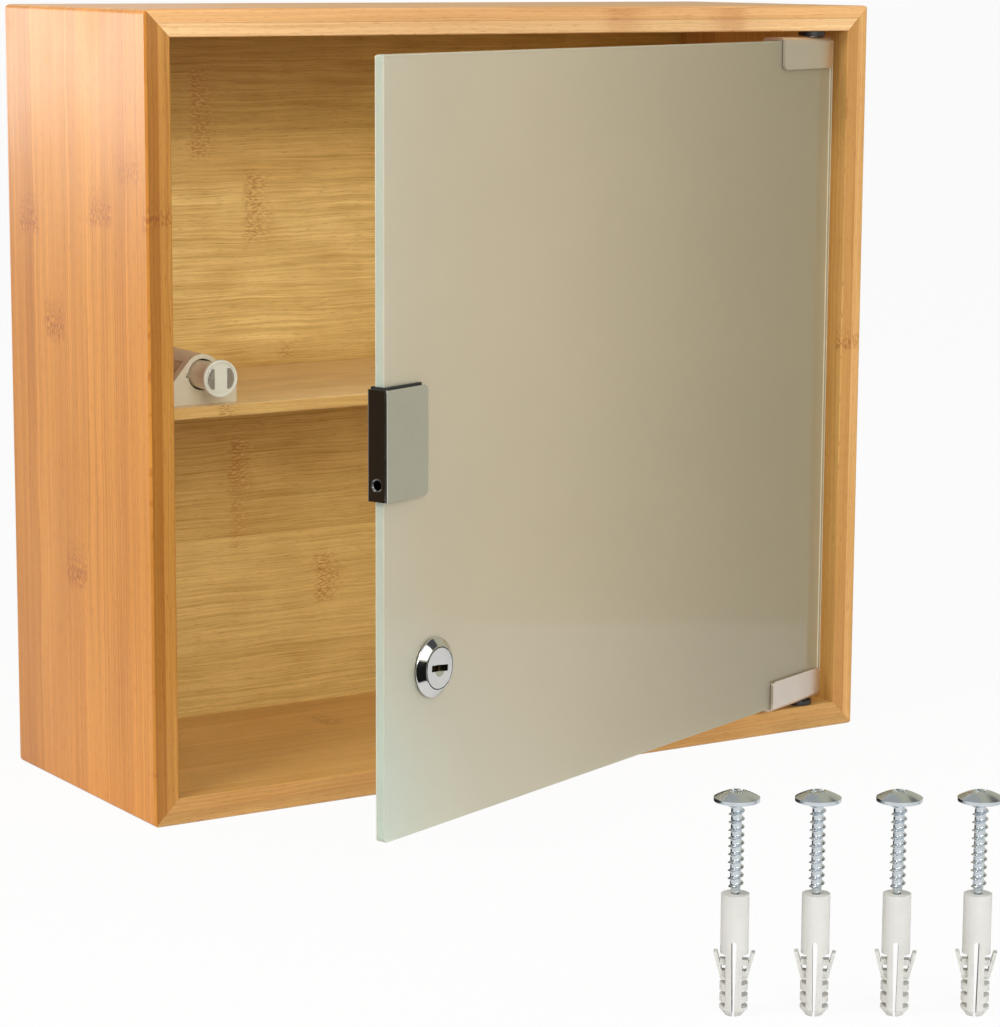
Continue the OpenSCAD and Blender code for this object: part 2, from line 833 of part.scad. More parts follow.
module set_screw_place() {
  translate([clip_x0, (clip_y0 + clip_y1) / 2, clip_z0 + clip_screw_up])
    rotate([0, 90, 0]) children();
}

module handle_clip() {
  color([0.80, 0.80, 0.80]) on_door() difference() {
    intersection() {
      translate([0, 0, clip_z0]) linear_extrude(clip_h)
        u_plan(clip_x0, clip_y0, clip_y1, clip_leaf, clip_sheet, clip_sheet, clip_sheet, clip_bend);
      along_y(clip_y0, clip_y1) translate([clip_x0 - clip_corner, clip_z0])
        round_rect(clip_leaf + clip_corner, clip_h, clip_corner);
    }
    set_screw_place() translate([0, 0, -over]) cylinder(h = clip_sheet + 2 * over, d = clip_screw_d);
  }
}

module handle_liner() {
  color([0.16, 0.16, 0.16]) on_door() translate([0, 0, clip_z0 + clip_liner_in])
    linear_extrude(clip_h - clip_liner_in + clip_liner_out)
      u_plan(clip_x0 + clip_sheet, clip_y0 + clip_sheet, clip_y1 - clip_sheet,
        clip_leaf - clip_sheet - clip_corner, clip_liner_edge, clip_liner_front,
        clip_liner_back, clip_liner_edge / 2);
}

module handle_set_screw() {
  color([0.55, 0.55, 0.57]) on_door() set_screw_place() difference() {
    translate([0, 0, clip_screw_sunk])
      cylinder(h = clip_sheet - clip_screw_sunk, d = clip_screw_d, $fn = 24);
    cylinder(h = clip_socket_h, d = clip_screw_d / 2, $fn = 6);
  }
}

// ---------- lock ----------

// bevelled ring and threaded barrel in one piece
module lock_housing() {
  seat = plug_step - end_play;
  color([0.84, 0.84, 0.85]) on_lock() difference() {
    union() {
      translate([0, 0, ring_back]) cylinder(h = ring_foot, d = ring_d);
      translate([0, 0, ring_back + ring_foot])
        cylinder(h = ring_h - ring_foot, d1 = ring_d - 2 * ring_step, d2 = ring_front_d);
      translate([0, 0, barrel_end]) cylinder(h = ring_back - barrel_end, d = barrel_d);
    }
    translate([0, 0, barrel_end - over])
      cylinder(h = seat - barrel_end + 2 * over, d = plug_d + 2 * running);
    translate([0, 0, seat]) cylinder(h = ring_h, d = plug_face_d + 2 * plug_gap);
  }
}

// flat ring round the barrel, from z0 up
module barrel_ring(z0, h, d, fn) {
  translate([0, 0, z0]) difference() {
    cylinder(h = h, d = d, $fn = fn);
    translate([0, 0, -over]) cylinder(h = h + 2 * over, d = barrel_d);
  }
}

module lock_gasket() {
  color([0.10, 0.10, 0.10]) on_lock() barrel_ring(glass_out, gasket_t, ring_d - 2 * gasket_in, 48);
}

module lock_washer() {
  color([0.10, 0.10, 0.10]) on_lock()
    barrel_ring(glass_back - washer_t, washer_t, nut_d, 48);
}

module lock_nut() {
  color([0.78, 0.78, 0.80]) on_lock() difference() {
    barrel_ring(glass_back - washer_t - nut_t, nut_t, nut_d, 48);
    for (a = [0 : 90 : 270]) rotate(a)
      translate([nut_d / 2, 0, glass_back - washer_t - nut_t / 2])
        cube([2 * nut_slot_h, nut_slot_w, nut_t + over], center = true);
  }
}

// children once at each wafer
module at_wafers() {
  for (i = [0 : wafers - 1]) translate([0, 0, wafer_first - i * wafer_pitch]) children();
}

module lock_plug() {
  color([0.80, 0.79, 0.78]) on_plug() difference() {
    union() {
      translate([0, 0, plug_step]) cylinder(h = plug_face_t, d = plug_face_d);
      translate([0, 0, tail_top]) cylinder(h = plug_step - tail_top, d = plug_d);
      translate([-tail_side / 2, -tail_side / 2, cam_back])
        cube([tail_side, tail_side, cam_t]);
    }
    translate([-key_w / 2, -key_h / 2, barrel_end + over])
      cube([key_w, key_h, plug_top - barrel_end]);
    translate([0, 0, plug_top - dimple_h])
      cylinder(h = dimple_h, d1 = dimple_tip_d, d2 = dimple_d);
    at_wafers() translate([-plug_d, -wafer_h / 2 - wafer_play, -wafer_play])
      cube([2 * plug_d, wafer_h + 2 * wafer_play, wafer_t + 2 * wafer_play]);
    cam_screw_shank();
  }
}

module lock_wafers() {
  color([0.78, 0.66, 0.36]) on_plug() at_wafers() linear_extrude(wafer_t) difference() {
    square([wafer_w, wafer_h], center = true);
    square([key_w - 2 * wafer_edge, key_h], center = true);
  }
}

module lock_cam() {
  color([0.70, 0.70, 0.72]) on_plug() translate([0, 0, cam_back]) linear_extrude(cam_t)
    difference() {
      union() {
        circle(d = cam_eye_d);
        translate([-cam_w / 2, 0]) square([cam_w, cam_len - cam_w / 2]);
        translate([0, cam_len - cam_w / 2]) circle(d = cam_w);
      }
      square([tail_side, tail_side], center = true);
    }
}

module cam_screw_shank() {
  translate([0, 0, cam_back - over])
    cylinder(h = cam_t + over + cam_screw_in, d = cam_screw_d, $fn = 24);
}

module lock_cam_screw() {
  color([0.65, 0.65, 0.67]) on_plug() difference() {
    union() {
      translate([0, 0, cam_back]) cylinder(h = cam_t + cam_screw_in, d = cam_screw_d, $fn = 24);
      translate([0, 0, cam_back - cam_screw_head_h])
        cylinder(h = cam_screw_head_h, d1 = cam_screw_low_d, d2 = cam_screw_head_d);
    }
    translate([0, 0, cam_back - cam_screw_head_h])
      cross(small_cross_span, small_cross_w, small_cross_h);
  }
}

// ---------- push catch ----------

// front view of the housing: barrel, foot and the two straight flanks that touch the barrel
module catch_view() {
  r = catch_barrel_d / 2;
  px = catch_foot_w / 2;
  py = catch_foot_h - catch_up;
  touch = atan2(py, px) + acos(r / norm([px, py]));
  tx = r * cos(touch);
  ty = r * sin(touch);
  circle(r);
  polygon([[-px, -catch_up], [px, -catch_up], [px, py], [tx, ty], [-tx, ty], [-px, py]]);
}

module catch_housing() {
  bore_r = catch_bore_d / 2;
  color([0.90, 0.86, 0.78]) difference() {
    at_catch() difference() {
      union() {
        translate([0, 0, -catch_plate_t]) linear_extrude(catch_plate_t) catch_view();
        translate([0, 0, -catch_len]) cylinder(h = catch_len, d = catch_barrel_d);
        translate([-catch_web / 2, -catch_up, -catch_len])
          cube([catch_web, catch_up, catch_len]);
        translate([-catch_foot_w / 2, -catch_up, -catch_len])
          cube([catch_foot_w, catch_flange_t, catch_len]);
      }
      translate([0, 0, bore_end]) cylinder(h = catch_len + over, r = bore_r);
      translate([-bore_r - guide_h, -guide_w / 2, bore_end])
        cube([bore_r, guide_w, catch_len + over]);
    }
    screws_of_catch();
  }
}

// the two screws that hold the housing on the shelf
module screws_of_catch() {
  head_z = shelf_top + catch_flange_t;
  for (s = [-1, 1])
    translate([catch_x + s * catch_screw_x, catch_y + catch_screw_back, head_z]) {
      translate([0, 0, -catch_screw_len])
        cylinder(h = catch_screw_len, d = catch_screw_d, $fn = 24);
      translate([0, 0, -catch_screw_head_h])
        cylinder(h = catch_screw_head_h, d1 = catch_screw_d, d2 = catch_screw_head_d);
    }
}

module catch_screws() {
  head_z = shelf_top + catch_flange_t;
  color([0.60, 0.60, 0.62]) difference() {
    screws_of_catch();
    for (s = [-1, 1])
      translate([catch_x + s * catch_screw_x, catch_y + catch_screw_back, head_z])
        cross(small_cross_span, small_cross_w, small_cross_h);
  }
}

// the spring pushes the sleeve out; its ends sit on the bore's end and in the pocket
module catch_spring() {
  steps = 10;
  rings = spring_turns * steps;
  coil_r = (spring_d - wire_d) / 2;
  rise = spring_len - wire_d;
  z0 = bore_end + spring_seat + wire_d / 2;
  corners = 6;
  points = [for (i = [0 : rings], k = [0 : corners - 1])
    let (a = 360 * i / steps, b = 360 * k / corners, r = coil_r + wire_d / 2 * cos(b))
      [r * cos(a), r * sin(a), z0 + rise * i / rings + wire_d / 2 * sin(b)]];
  walls = [for (i = [0 : rings - 1], k = [0 : corners - 1])
    let (p = i * corners + k, q = i * corners + (k + 1) % corners)
      [[p, q, p + corners], [q, q + corners, p + corners]]];
  sides = [for (pair = walls, f = pair) f];
  first = [for (k = [1 : corners - 2]) [0, k + 1, k]];
  last = [for (k = [1 : corners - 2]) rings * corners * [1, 1, 1] + [0, k, k + 1]];
  color([0.70, 0.70, 0.72]) at_catch()
    polyhedron(points = points, faces = concat(sides, first, last), convexity = 8);
}

// two round-backed plates, one on each side of the magnet
module poles() {
  translate([0, 0, head_back]) linear_extrude(face + pole_proud - head_back) intersection() {
    circle(pole_r);
    for (s = [-1, 1]) translate([s * (magnet_w + pole_r) / 2, 0])
      square([pole_r, pole_h], center = true);
  }
}

module magnet() {
  translate([-magnet_w / 2, -pole_h / 2, magnet_front - magnet_len])
    cube([magnet_w, pole_h, magnet_len]);
}

module plunger_sleeve() {
  r = sleeve_d / 2;
  rib = guide_w - 2 * guide_play;
  color([0.78, 0.72, 0.60]) at_catch() difference() {
    union() {
      translate([0, 0, -sleeve_in]) cylinder(h = head_back + sleeve_in, r = r);
      translate([-catch_bore_d / 2 - guide_h + guide_play, -rib / 2, -sleeve_in])
        cube([catch_bore_d / 2, rib, sleeve_in - rib_back]);
    }
    translate([0, 0, -sleeve_in - over])
      cylinder(h = sleeve_in + over + pocket_end, d = pocket_d);
    magnet();
  }
}

// profile of the head: a disc with a round front rim
module head_view() {
  r = head_d / 2;
  translate([0, head_back]) square([r, head_t - head_r]);
  translate([0, head_back]) square([r - head_r, head_t]);
  translate([r - head_r, plunger_out - head_r]) circle(head_r, $fn = 24);
}

module plunger_head() {
  color([0.92, 0.90, 0.85]) at_catch() difference() {
    rotate_extrude() head_view();
    translate([0, 0, face]) cylinder(h = recess_h + over, d = recess_d);
    poles();
    magnet();
  }
}

module plunger_magnet() {
  color([0.20, 0.20, 0.21]) at_catch() magnet();
}

module plunger_pole_plates() {
  color([0.70, 0.71, 0.72]) at_catch() poles();
}

// ---------- loose wall fixings ----------

// children once at each place, on the floor
module at_fixings() {
  for (i = [0 : fixings - 1])
    translate([fixing_x + i * fixing_step_x, fixing_y - i * fixing_step_y, 0]) children();
}

// side view of one wing with its two struts, on the right of the plug
module wing_view() {
  root = plug_collar_d / 2;
  tip = plug_wing_w / 2;
  polygon([[root - plug_wing_t, plug_wing_z], [root, plug_wing_z],
    [tip, plug_wing_z + plug_wing_h], [tip - plug_wing_t, plug_wing_z + plug_wing_h]]);
  for (z = [plug_wing_z, plug_wing_z + plug_notch_pitch])
    translate([plug_web_w / 2 - plug_wing_t, z])
      square([root - plug_web_w / 2 + plug_wing_t / (z == plug_wing_z ? 2 : 1), plug_strut_h]);
}

// the split narrows to the lower end
module plug_split_cut() {
  translate([0, plug_wing_w, 0]) rotate([90, 0, 0]) linear_extrude(2 * plug_wing_w) {
    polygon([[-plug_split_low_w / 2, -over], [plug_split_low_w / 2, -over],
      [plug_split_w / 2, plug_split], [-plug_split_w / 2, plug_split]]);
    translate([0, plug_split]) circle(d = plug_split_w, $fn = 24);
  }
}

// notches from the lower end up to the collar, on both sides
module plug_notches() {
  first = plug_taper + plug_notch_h / 2;
  reach = plug_collar_d / 2;
  for (s = [-1, 1]) {
    for (z = [first : plug_notch_pitch : plug_wing_z - plug_notch_h])
      translate([s * (plug_web_w / 2 + reach), 0, z + plug_notch_h / 2])
        cube([2 * reach, 2 * reach, plug_notch_h], center = true);
    translate([s * (plug_web_w / 2 + reach), 0, (plug_wing_z + plug_collar_z) / 2])
      cube([2 * reach, 2 * reach, plug_collar_z - plug_wing_z], center = true);
  }
}

module wall_plug() {
  difference() {
    union() {
      difference() {
        union() {
          translate([0, 0, plug_taper])
            cylinder(h = plug_len - plug_taper, d = plug_collar_d, $fn = 32);
          cylinder(h = plug_taper, d1 = plug_end_d, d2 = plug_collar_d, $fn = 32);
        }
        plug_notches();
      }
      for (s = [0, 1]) mirror([s, 0, 0])
        translate([0, plug_wing_d / 2, 0]) rotate([90, 0, 0])
          linear_extrude(plug_wing_d) wing_view();
    }
    translate([0, 0, -over]) cylinder(h = plug_len + 2 * over, d = plug_bore_d, $fn = 32);
    plug_split_cut();
  }
}

module wall_plugs() {
  color([0.90, 0.90, 0.89]) at_fixings() rotate(-plug_turn) wall_plug();
}

// profile of a wafer-head screw, point down
module screw_view() {
  r = screw_d / 2;
  shank = screw_len - screw_head_h;
  polygon([[0, 0], [screw_tip_d / 2, 0], [r, screw_point], [r, shank], [screw_head_d / 2, shank],
    [screw_head_d / 2, shank + screw_rim], [screw_crown_d / 2, screw_len], [0, screw_len]]);
}

module wall_screws() {
  color([0.72, 0.75, 0.78]) at_fixings() translate([0, 0, plug_len - screw_started])
    difference() {
      rotate_extrude() screw_view();
      translate([0, 0, screw_len]) cross(cross_span, cross_w, cross_h);
    }
}

// ---------- export ----------
left_side();
right_side();
top_board();
bottom_board();
back_panel();
shelf();
corner_splines();
panel_pins();
hinge_bush_upper();
hinge_bush_lower();
catch_housing();
catch_screws();
catch_spring();
plunger_sleeve();
plunger_head();
plunger_magnet();
plunger_pole_plates();
door_glass();
hinge_clamp_upper();
hinge_clamp_lower();
hinge_pin_upper();
hinge_pin_lower();
clamp_liners();
clamp_grub_screws();
handle_clip();
handle_liner();
handle_set_screw();
lock_housing();
lock_gasket();
lock_washer();
lock_nut();
lock_plug();
lock_wafers();
lock_cam();
lock_cam_screw();
wall_screws();
wall_plugs();
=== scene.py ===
"""Looks of a lockable medicine cabinet: bamboo carcass, etched glass door, lock, catch and wall fixings.

Lengths in the classes are millimetres, as in the part's source. Meshes are metres, in the
part's own frame: X to the right, Y to the wall, Z up.
"""

import logging
import math
from dataclasses import dataclass
from enum import Enum
from functools import cache
from typing import Optional, Sequence, Union

import bmesh
import bpy
import numpy as np
from mathutils import Matrix, Vector


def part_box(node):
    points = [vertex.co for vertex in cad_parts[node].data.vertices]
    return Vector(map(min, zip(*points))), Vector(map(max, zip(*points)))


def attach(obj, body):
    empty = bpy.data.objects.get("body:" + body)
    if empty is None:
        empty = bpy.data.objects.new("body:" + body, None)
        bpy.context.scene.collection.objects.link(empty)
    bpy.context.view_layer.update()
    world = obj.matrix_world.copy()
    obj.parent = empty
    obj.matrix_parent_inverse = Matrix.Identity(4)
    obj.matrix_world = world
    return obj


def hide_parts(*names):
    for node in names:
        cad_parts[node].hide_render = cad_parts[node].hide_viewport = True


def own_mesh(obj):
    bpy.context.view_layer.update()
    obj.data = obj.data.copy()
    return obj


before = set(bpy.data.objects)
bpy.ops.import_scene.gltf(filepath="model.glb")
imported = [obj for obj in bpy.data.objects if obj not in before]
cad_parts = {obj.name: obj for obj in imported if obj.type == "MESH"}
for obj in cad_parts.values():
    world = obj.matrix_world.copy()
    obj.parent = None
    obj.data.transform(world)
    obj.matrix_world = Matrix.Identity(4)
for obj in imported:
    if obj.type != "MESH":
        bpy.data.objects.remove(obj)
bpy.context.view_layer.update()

LOG = logging.getLogger("cabinet")
MM = 0.001
MERGE = 2e-7  # points of a new surface that lie this near, in metres, are one
CAD_MERGE = 2e-6  # the same for a CAD mesh
SLIVER = 1e-8  # edges of a new surface under this length, in metres, go
FLAT = 0.8  # faces of a CAD mesh that meet at less than these degrees are one
SHARP = 32.0  # edges that turn by more than these degrees get a round

Array = np.ndarray
Piece = bpy.types.Object
Tree = bpy.types.NodeTree
Node = bpy.types.Node
Socket = bpy.types.NodeSocket
Point = tuple[float, float, float]
Colour = tuple[float, float, float]


def from_screen(red: int, green: int, blue: int) -> Colour:
    """A colour read off a screen, as the linear numbers that a shader takes.

    Args:
        red: Red, 0 to 255.
        green: Green, 0 to 255.
        blue: Blue, 0 to 255.

    Returns:
        Linear red, green and blue, 0 to 1.
    """
    values = np.array([red, green, blue]) / 255.0
    linear = np.where(values <= 0.04045, values / 12.92, ((values + 0.055) / 1.055) ** 2.4)
    return tuple(float(v) for v in linear)


def dimmed(colour: Colour, share: float) -> Colour:
    """A colour times a share."""
    return tuple(part * share for part in colour)


# ---- Places ----


@dataclass(frozen=True)
class Sizes:
    """The sizes and places of the cabinet that its pieces share, in millimetres and degrees."""

    width: float = 325.0
    height: float = 298.0
    board: float = 10.0
    pivot: tuple[float, float] = (139.0, -53.5)
    door_open: float = 21.8
    free_edge: float = -287.0
    hinge_edge: float = 10.3
    lock_x: float = -259.5
    lock_z: float = 71.5
    catch: Point = (-128.8, -35.9, 163.5)


SIZES = Sizes()


@dataclass(frozen=True)
class Placement:
    """Where a piece's own frame lies in the cabinet, as a rotation and an origin in millimetres."""

    turn: Matrix = Matrix.Identity(3)
    origin: Point = (0.0, 0.0, 0.0)

    def apply(self, points: Array) -> Array:
        """Points from the piece's frame into the cabinet's frame.

        Args:
            points: Array of shape (..., 3), in millimetres.

        Returns:
            Array of the same shape, in metres.
        """
        return (points @ np.array(self.turn).T + np.array(self.origin)) * MM

    @staticmethod
    def on_door(x: float, y: float, z: float, facing: bool = False) -> "Placement":
        """A frame on the open door.

        Args:
            x: Along the door from the pivot axis, negative to the free edge.
            y: Through the door, negative to the outside.
            z: Height above the base.
            facing: True turns the frame's Z to the outside of the door.

        Returns:
            The placement in the cabinet's frame.
        """
        swing = Matrix.Rotation(math.radians(SIZES.door_open), 3, "Z")
        spot = swing @ Vector((x, y, 0.0))
        origin = (SIZES.pivot[0] + spot.x, SIZES.pivot[1] + spot.y, z)
        return Placement(swing @ Matrix.Rotation(math.pi / 2, 3, "X") if facing else swing, origin)


# ---- Surfaces ----


def surface(
    name: str, points: Array, place: Placement, closed: bool = True, smooth: float = 35.0
) -> Piece:
    """An object made of a grid of points, its doubles merged and its faces outwards.

    Face (i, j) joins the points (i, j), (i, j + 1), (i + 1, j + 1) and (i + 1, j). In a
    closed grid the last column is joined to the first.

    Args:
        name: Name of the piece.
        points: Array of shape (rows, columns, 3), in millimetres.
        place: Where the points' frame lies.
        closed: Whether the grid is closed.
        smooth: Edges that turn by less than this many degrees are shaded smooth.

    Returns:
        The new object.
    """
    rows, columns, _ = points.shape
    i = np.arange(rows - 1)[:, None] * columns
    j = np.arange(columns if closed else columns - 1)[None, :]
    right = (j + 1) % columns
    corners = (i + j, i + right, i + columns + right, i + columns + j)
    faces = np.stack([corner.ravel() for corner in corners], axis=1)
    mesh = bpy.data.meshes.new(name)
    mesh.vertices.add(rows * columns)
    mesh.vertices.foreach_set("co", place.apply(points).astype(np.float32).ravel())
    mesh.loops.add(faces.size)
    mesh.loops.foreach_set("vertex_index", faces.astype(np.int32).ravel())
    mesh.polygons.add(len(faces))
    mesh.polygons.foreach_set("loop_start", np.arange(0, faces.size, 4, dtype=np.int32))
    mesh.update(calc_edges=True)
    mesh.validate()
    shell = bmesh.new()
    shell.from_mesh(mesh)
    bmesh.ops.remove_doubles(shell, verts=shell.verts, dist=MERGE)
    bmesh.ops.dissolve_degenerate(shell, edges=shell.edges, dist=SLIVER)
    bmesh.ops.recalc_face_normals(shell, faces=shell.faces)
    return shown(name, mesh, shell, smooth)


def shown(name: str, mesh: bpy.types.Mesh, shell: bmesh.types.BMesh, smooth: float) -> Piece:
    """Puts a worked shell back into its mesh and the mesh into the scene.

    Args:
        name: Name of the piece.
        mesh: The mesh.
        shell: The shell, which is freed.
        smooth: Edges that turn by less than this many degrees are shaded smooth.

    Returns:
        The new object, at the origin.
    """
    shell.to_mesh(mesh)
    shell.free()
    mesh.shade_smooth()
    mesh.set_sharp_from_angle(angle=math.radians(smooth))
    piece = bpy.data.objects.new(name, mesh)
    bpy.context.scene.collection.objects.link(piece)
    return piece


def turned(radius: Array, height: Array, angle: Array) -> Array:
    """The points (r cos a, r sin a, z).

    Args:
        radius: Radius r.
        height: Height z.
        angle: Angle a, in radians.

    Returns:
        Array of the shape that the three arrays share, with the points' parts last.
    """
    r, z, a = np.broadcast_arrays(radius, height, angle)
    return np.stack([r * np.cos(a), r * np.sin(a), z], axis=-1)


def round_about(steps: int) -> Array:
    """Evenly spaced angles of a full turn."""
    return np.linspace(0.0, 2 * np.pi, steps, endpoint=False)


def lathe(name: str, profile: Array, place: Placement, steps: int) -> Piece:
    """A turned piece: the profile's point (r, z) goes to (r cos a, r sin a, z) for each angle a.

    Args:
        name: Name of the piece.
        profile: Array of shape (points, 2), radius and height in millimetres.
        place: Where the piece's axis lies.
        steps: Angles round the axis.

    Returns:
        The new object.
    """
    return surface(name, turned(profile[:, :1], profile[:, 1:], round_about(steps)), place)


def rounded(corners: Sequence[Point], steps: int = 5, most: float = 0.48) -> Array:
    """A profile of straight lines with round corners.

    Each corner is replaced by a curve that leaves its two lines at the corner's radius from
    it: the points are (1 - t)^2 a + 2 t (1 - t) corner + t^2 b, with t from 0 to 1.

    Args:
        corners: Radius, height and rounding of each corner, in millimetres.
        steps: Points on a round corner, less one.
        most: Largest share of a line that one corner takes.

    Returns:
        Array of shape (points, 2): radius and height.
    """
    spots = np.array([(r, z) for r, z, _ in corners], dtype=float)
    out: list[Array] = []
    for k, (_, _, size) in enumerate(corners):
        here = spots[k]
        if size <= 0 or k in (0, len(corners) - 1):
            out.append(here[None])
            continue
        ends: list[Array] = []
        for other in (spots[k - 1], spots[k + 1]):
            line = other - here
            length = np.linalg.norm(line)
            ends.append(here + line / length * min(size, length * most))
        t = np.linspace(0.0, 1.0, steps + 1)[:, None]
        out.append((1 - t) ** 2 * ends[0] + 2 * t * (1 - t) * here + t**2 * ends[1])
    return np.concatenate(out)


def wire_along(name: str, path: Array, thick: float, place: Placement, sides: int = 10) -> Piece:
    """A round wire along a path.

    At each point of the path the tangent comes from its neighbours, one side direction is
    the cross product of the tangent and the axis, and the other the cross product of both.
    The wire's skin is the point plus the radius times the cosine and sine of these two.

    Args:
        name: Name of the piece.
        path: Array of shape (points, 3), in millimetres.
        thick: Diameter of the wire.
        place: Where the path's frame lies.
        sides: Sides of the wire.

    Returns:
        The new object.
    """
    tangent = np.gradient(path, axis=0)
    tangent /= np.linalg.norm(tangent, axis=1, keepdims=True)
    across = np.cross(tangent, np.array([0.0, 0.0, 1.0]))
    across /= np.linalg.norm(across, axis=1, keepdims=True)
    other = np.cross(tangent, across)
    turn = round_about(sides)[None, :, None]
    skin = path[:, None] + (across[:, None] * np.cos(turn) + other[:, None] * np.sin(turn)) * thick / 2
    ends = (path[:1, None].repeat(sides, 1), path[-1:, None].repeat(sides, 1))
    return surface(name, np.concatenate([ends[0], skin, ends[1]]), place)


def join(name: str, pieces: Sequence[Piece]) -> Piece:
    """Several pieces as one object.

    Args:
        name: Name of the joined piece.
        pieces: The pieces, which are used up.

    Returns:
        The joined object.
    """
    with bpy.context.temp_override(active_object=pieces[0], selected_editable_objects=list(pieces)):
        bpy.ops.object.join()
    pieces[0].name = name
    return pieces[0]


def painted_shade(piece: Piece, place: Placement, reach: float, level: tuple[float, float]) -> None:
    """Marks the part of a round piece that lies in shade, as a float attribute that its finish reads to
    paint shade there.

    The mark is 1 where the radius is within reach and the height in the piece's own frame
    lies in its range, and 0 elsewhere.

    Args:
        piece: The piece.
        place: Where its axis lies.
        reach: Largest radius, in millimetres.
        level: Smallest and largest height.
    """
    points = np.empty(len(piece.data.vertices) * 3, dtype=np.float32)
    piece.data.vertices.foreach_get("co", points)
    own = (points.reshape(-1, 3) / MM - np.array(place.origin)) @ np.array(place.turn)
    inside = (np.hypot(own[:, 0], own[:, 1]) <= reach) & (own[:, 2] >= level[0]) & (own[:, 2] <= level[1])
    mark = piece.data.attributes.new("painted_shade", "FLOAT", "POINT")
    mark.data.foreach_set("value", inside.astype(np.float32))


# ---- Shader building blocks ----


class Value:
    """A number, vector or colour that a socket carries, so that a shader reads as plain arithmetic."""

    def __init__(self, wiring: "Wiring", socket: Socket) -> None:
        """Keeps the socket and the wiring of its tree."""
        self.wiring = wiring
        self.socket = socket

    def __add__(self, other: "Number") -> "Value":
        """This plus the other."""
        return self.wiring.math("ADD", self, other)

    def __radd__(self, other: float) -> "Value":
        """The other plus this."""
        return self.wiring.math("ADD", other, self)

    def __sub__(self, other: "Number") -> "Value":
        """This less the other."""
        return self.wiring.math("SUBTRACT", self, other)

    def __rsub__(self, other: float) -> "Value":
        """The other less this."""
        return self.wiring.math("SUBTRACT", other, self)

    def __mul__(self, other: "Number") -> "Value":
        """This times the other."""
        return self.wiring.math("MULTIPLY", self, other)

    def __truediv__(self, other: "Number") -> "Value":
        """This over the other."""
        return self.wiring.math("DIVIDE", self, other)

    def __rtruediv__(self, other: float) -> "Value":
        """The other over this."""
        return self.wiring.math("DIVIDE", other, self)

    def __abs__(self) -> "Value":
        """This without its sign."""
        return self.wiring.math("ABSOLUTE", self)

    def clamped(self) -> "Value":
        """This value, which the step that gave it now keeps between 0 and 1."""
        self.socket.node.use_clamp = True
        return self

    def fit(self, low: float, high: float, to_low: float = 0.0, to_high: float = 1.0) -> "Value":
        """This value's place between low and high, eased at both ends, in the new range.

        Args:
            low: Value that gives the new range's first end.
            high: Value that gives its second end.
            to_low: First end of the new range.
            to_high: Second end.

        Returns:
            The number in the new range.
        """
        made = self.wiring.node("MapRange", interpolation_type="SMOOTHSTEP")
        for socket, entry in zip(made.inputs, (self, low, high, to_low, to_high)):
            self.wiring.feed(socket, entry)
        return self.wiring.out(made)

    def split(self) -> tuple["Value", ...]:
        """The three parts of a vector."""
        made = self.wiring.set(self.wiring.node("SeparateXYZ"), Vector=self)
        return tuple(Value(self.wiring, part) for part in made.outputs)


Number = Union[float, Value]


